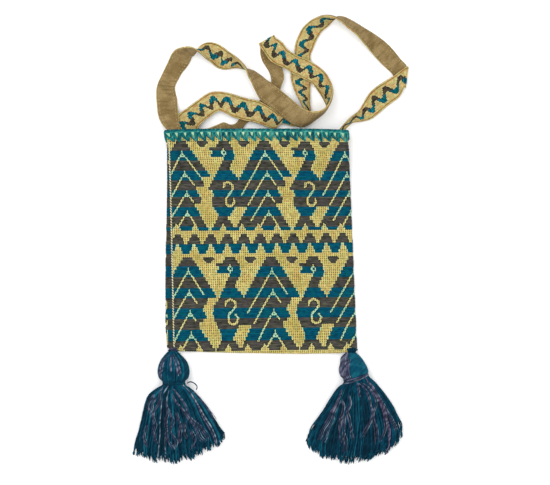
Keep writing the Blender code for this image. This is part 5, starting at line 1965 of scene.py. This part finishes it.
    def corner_yarn(self) -> bpy.types.Object:
        """Yarn sewn over the bag's corner above the knot."""
        first, last, top, edge, height = self.corner
        lines = []
        for index in range(self.corner_yarns):
            share = index / (self.corner_yarns - 1)
            x = first + (last - first) * share
            rise = top + self.draw.uniform(-0.5, 0.7) + 1.2 * (2 * share - 1) ** 2
            points = np.array(
                [
                    (x + self.draw.uniform(-0.4, 0.4), rise, height - 0.6),
                    (x, rise + 0.6, height + 0.25),
                    (x * 0.8 + 0.2 * self.knot[0], (rise + edge) / 2, height + 0.5),
                    (x * 0.7 + 0.3 * self.knot[0], edge + 0.6, height - 0.5),
                    (x * 0.65 + 0.35 * self.knot[0], edge + 1.6, height * 0.55),
                ]
            )
            lines.append((metres(spline(points, 4)), self.sewn_yarn, self.corner_tone(index, 2, 1)))
        piece = strands(f"{self.side}_corner_yarn", lines, TASSEL_YARNS)
        dress(piece, "bag", "tassel_yarn")
        return piece

    def build(self) -> None:
        """Make every piece of the tassel."""
        self.tie()
        self.corner_yarn()
        self.core()
        lines = self.head() + self.skirt() + self.streaks()
        body = strands(f"{self.side}_tassel_strands", lines, TASSEL_YARNS)
        dress(body, f"{self.side}_tassel", "tassel_yarn", f"{self.side}_tassel_yarn")
        self.binding()


def build_tassels() -> None:
    """Make both tassels and the loose end of the left one's binding."""
    left = YarnTassel(
        side="left",
        knot=(172.2, 351.5),
        rows=LEFT_TASSEL,
        neck=6,
        seed=11,
        skirt_streaks=LEFT_SKIRT_STREAKS,
        head_streaks=LEFT_HEAD_STREAKS,
        grey_head=0.0,
        binding_grey=False,
        grey_corner=True,
        binding_slant=0.0,
        corner=(169.0, 178.0, 348.2, 349.6, 5.6),
    )
    right = YarnTassel(
        side="right",
        knot=(351.4, 353.7),
        rows=RIGHT_TASSEL,
        neck=5,
        seed=29,
        skirt_streaks=RIGHT_SKIRT_STREAKS,
        head_streaks=RIGHT_HEAD_STREAKS,
        grey_head=0.36,
        binding_grey=True,
        grey_corner=False,
        binding_slant=-0.35,
        # head mostly in the light blue: painted light, making up for the shade that the key lamp leaves on
        # this head
        head_tones=(0, 2, 8),
        corner=(347.2, 357.0, 347.8, 350.9, 5.6),
    )
    left.build()
    right.build()
    route = spline(np.array(LOOSE_END), 4)
    end = strands("left_loose_yarn_end", [(metres(route), 0.7, NAVY)], TASSEL_YARNS[:1])
    dress(end, "left_tassel", "tassel_yarn", "left_loose_end")


@dataclass(frozen=True)
class Studio:
    """Floor, light and camera, with the photograph's frame seen straight from above."""

    # middle and width of the photograph on the drawing grid
    middle: tuple[float, float] = (275.0, 242.5)
    width: float = 550.0
    lens: float = 200.0
    sensor: float = 36.0
    sky: float = 1.12
    floor_drop: float = 0.0004
    floor_half: float = 4.0
    farthest: float = 20.0
    # name, place, size and watts
    lamps: tuple = (("key", (-0.9, 0.9, 1.7), 1.8, 20.0), ("fill", (1.2, -0.7, 1.8), 1.8, 8.0))

    def build(self) -> None:
        """Make the camera, the floor and the lights."""
        scene = bpy.context.scene
        camera = bpy.data.cameras.new("camera")
        camera.lens = self.lens
        camera.sensor_width = self.sensor
        camera.clip_end = self.farthest
        eye = bpy.data.objects.new("camera", camera)
        scene.collection.objects.link(eye)
        eye.location = (*plan(*self.middle)[:2], self.width * GRID * self.lens / self.sensor)
        scene.camera = eye
        floor = bmesh.new()
        bmesh.ops.create_grid(floor, x_segments=2, y_segments=2, size=self.floor_half)
        bmesh.ops.translate(floor, verts=floor.verts, vec=(0, 0, -self.floor_drop))
        put(floor, "floor", (PalePaper(),))
        world = bpy.data.worlds.new("studio")
        world.use_nodes = True
        sky = world.node_tree.nodes["Background"].inputs
        sky["Color"].default_value = (1.0, 1.0, 1.0, 1.0)
        sky["Strength"].default_value = self.sky
        scene.world = world
        for lamp in self.lamps:
            self.light(*lamp)
        scene.view_settings.view_transform = "Standard"

    def light(self, name: str, place: tuple, size: float, watts: float) -> None:
        """Square area lamp turned to the bag."""
        lamp = bpy.data.lights.new(name, "AREA")
        lamp.size = size
        lamp.energy = watts
        thing = bpy.data.objects.new(name, lamp)
        thing.location = place
        away = np.array(place) / np.linalg.norm(place)
        thing.rotation_euler = (math.acos(away[2]), 0.0, math.atan2(away[0], -away[1]))
        bpy.context.scene.collection.objects.link(thing)


def main() -> None:
    """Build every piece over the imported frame."""
    logging.basicConfig(level=logging.INFO, format="%(message)s")
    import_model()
    Studio().build()
    pouch = WovenPouch()
    pouch.build()
    MouthEdging(pouch).build()
    seams = BagSeams(pouch)
    seams.side()
    seams.bottom()
    LinedStrap().build()
    build_tassels()
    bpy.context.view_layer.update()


if __name__ == "__main__":
    main()
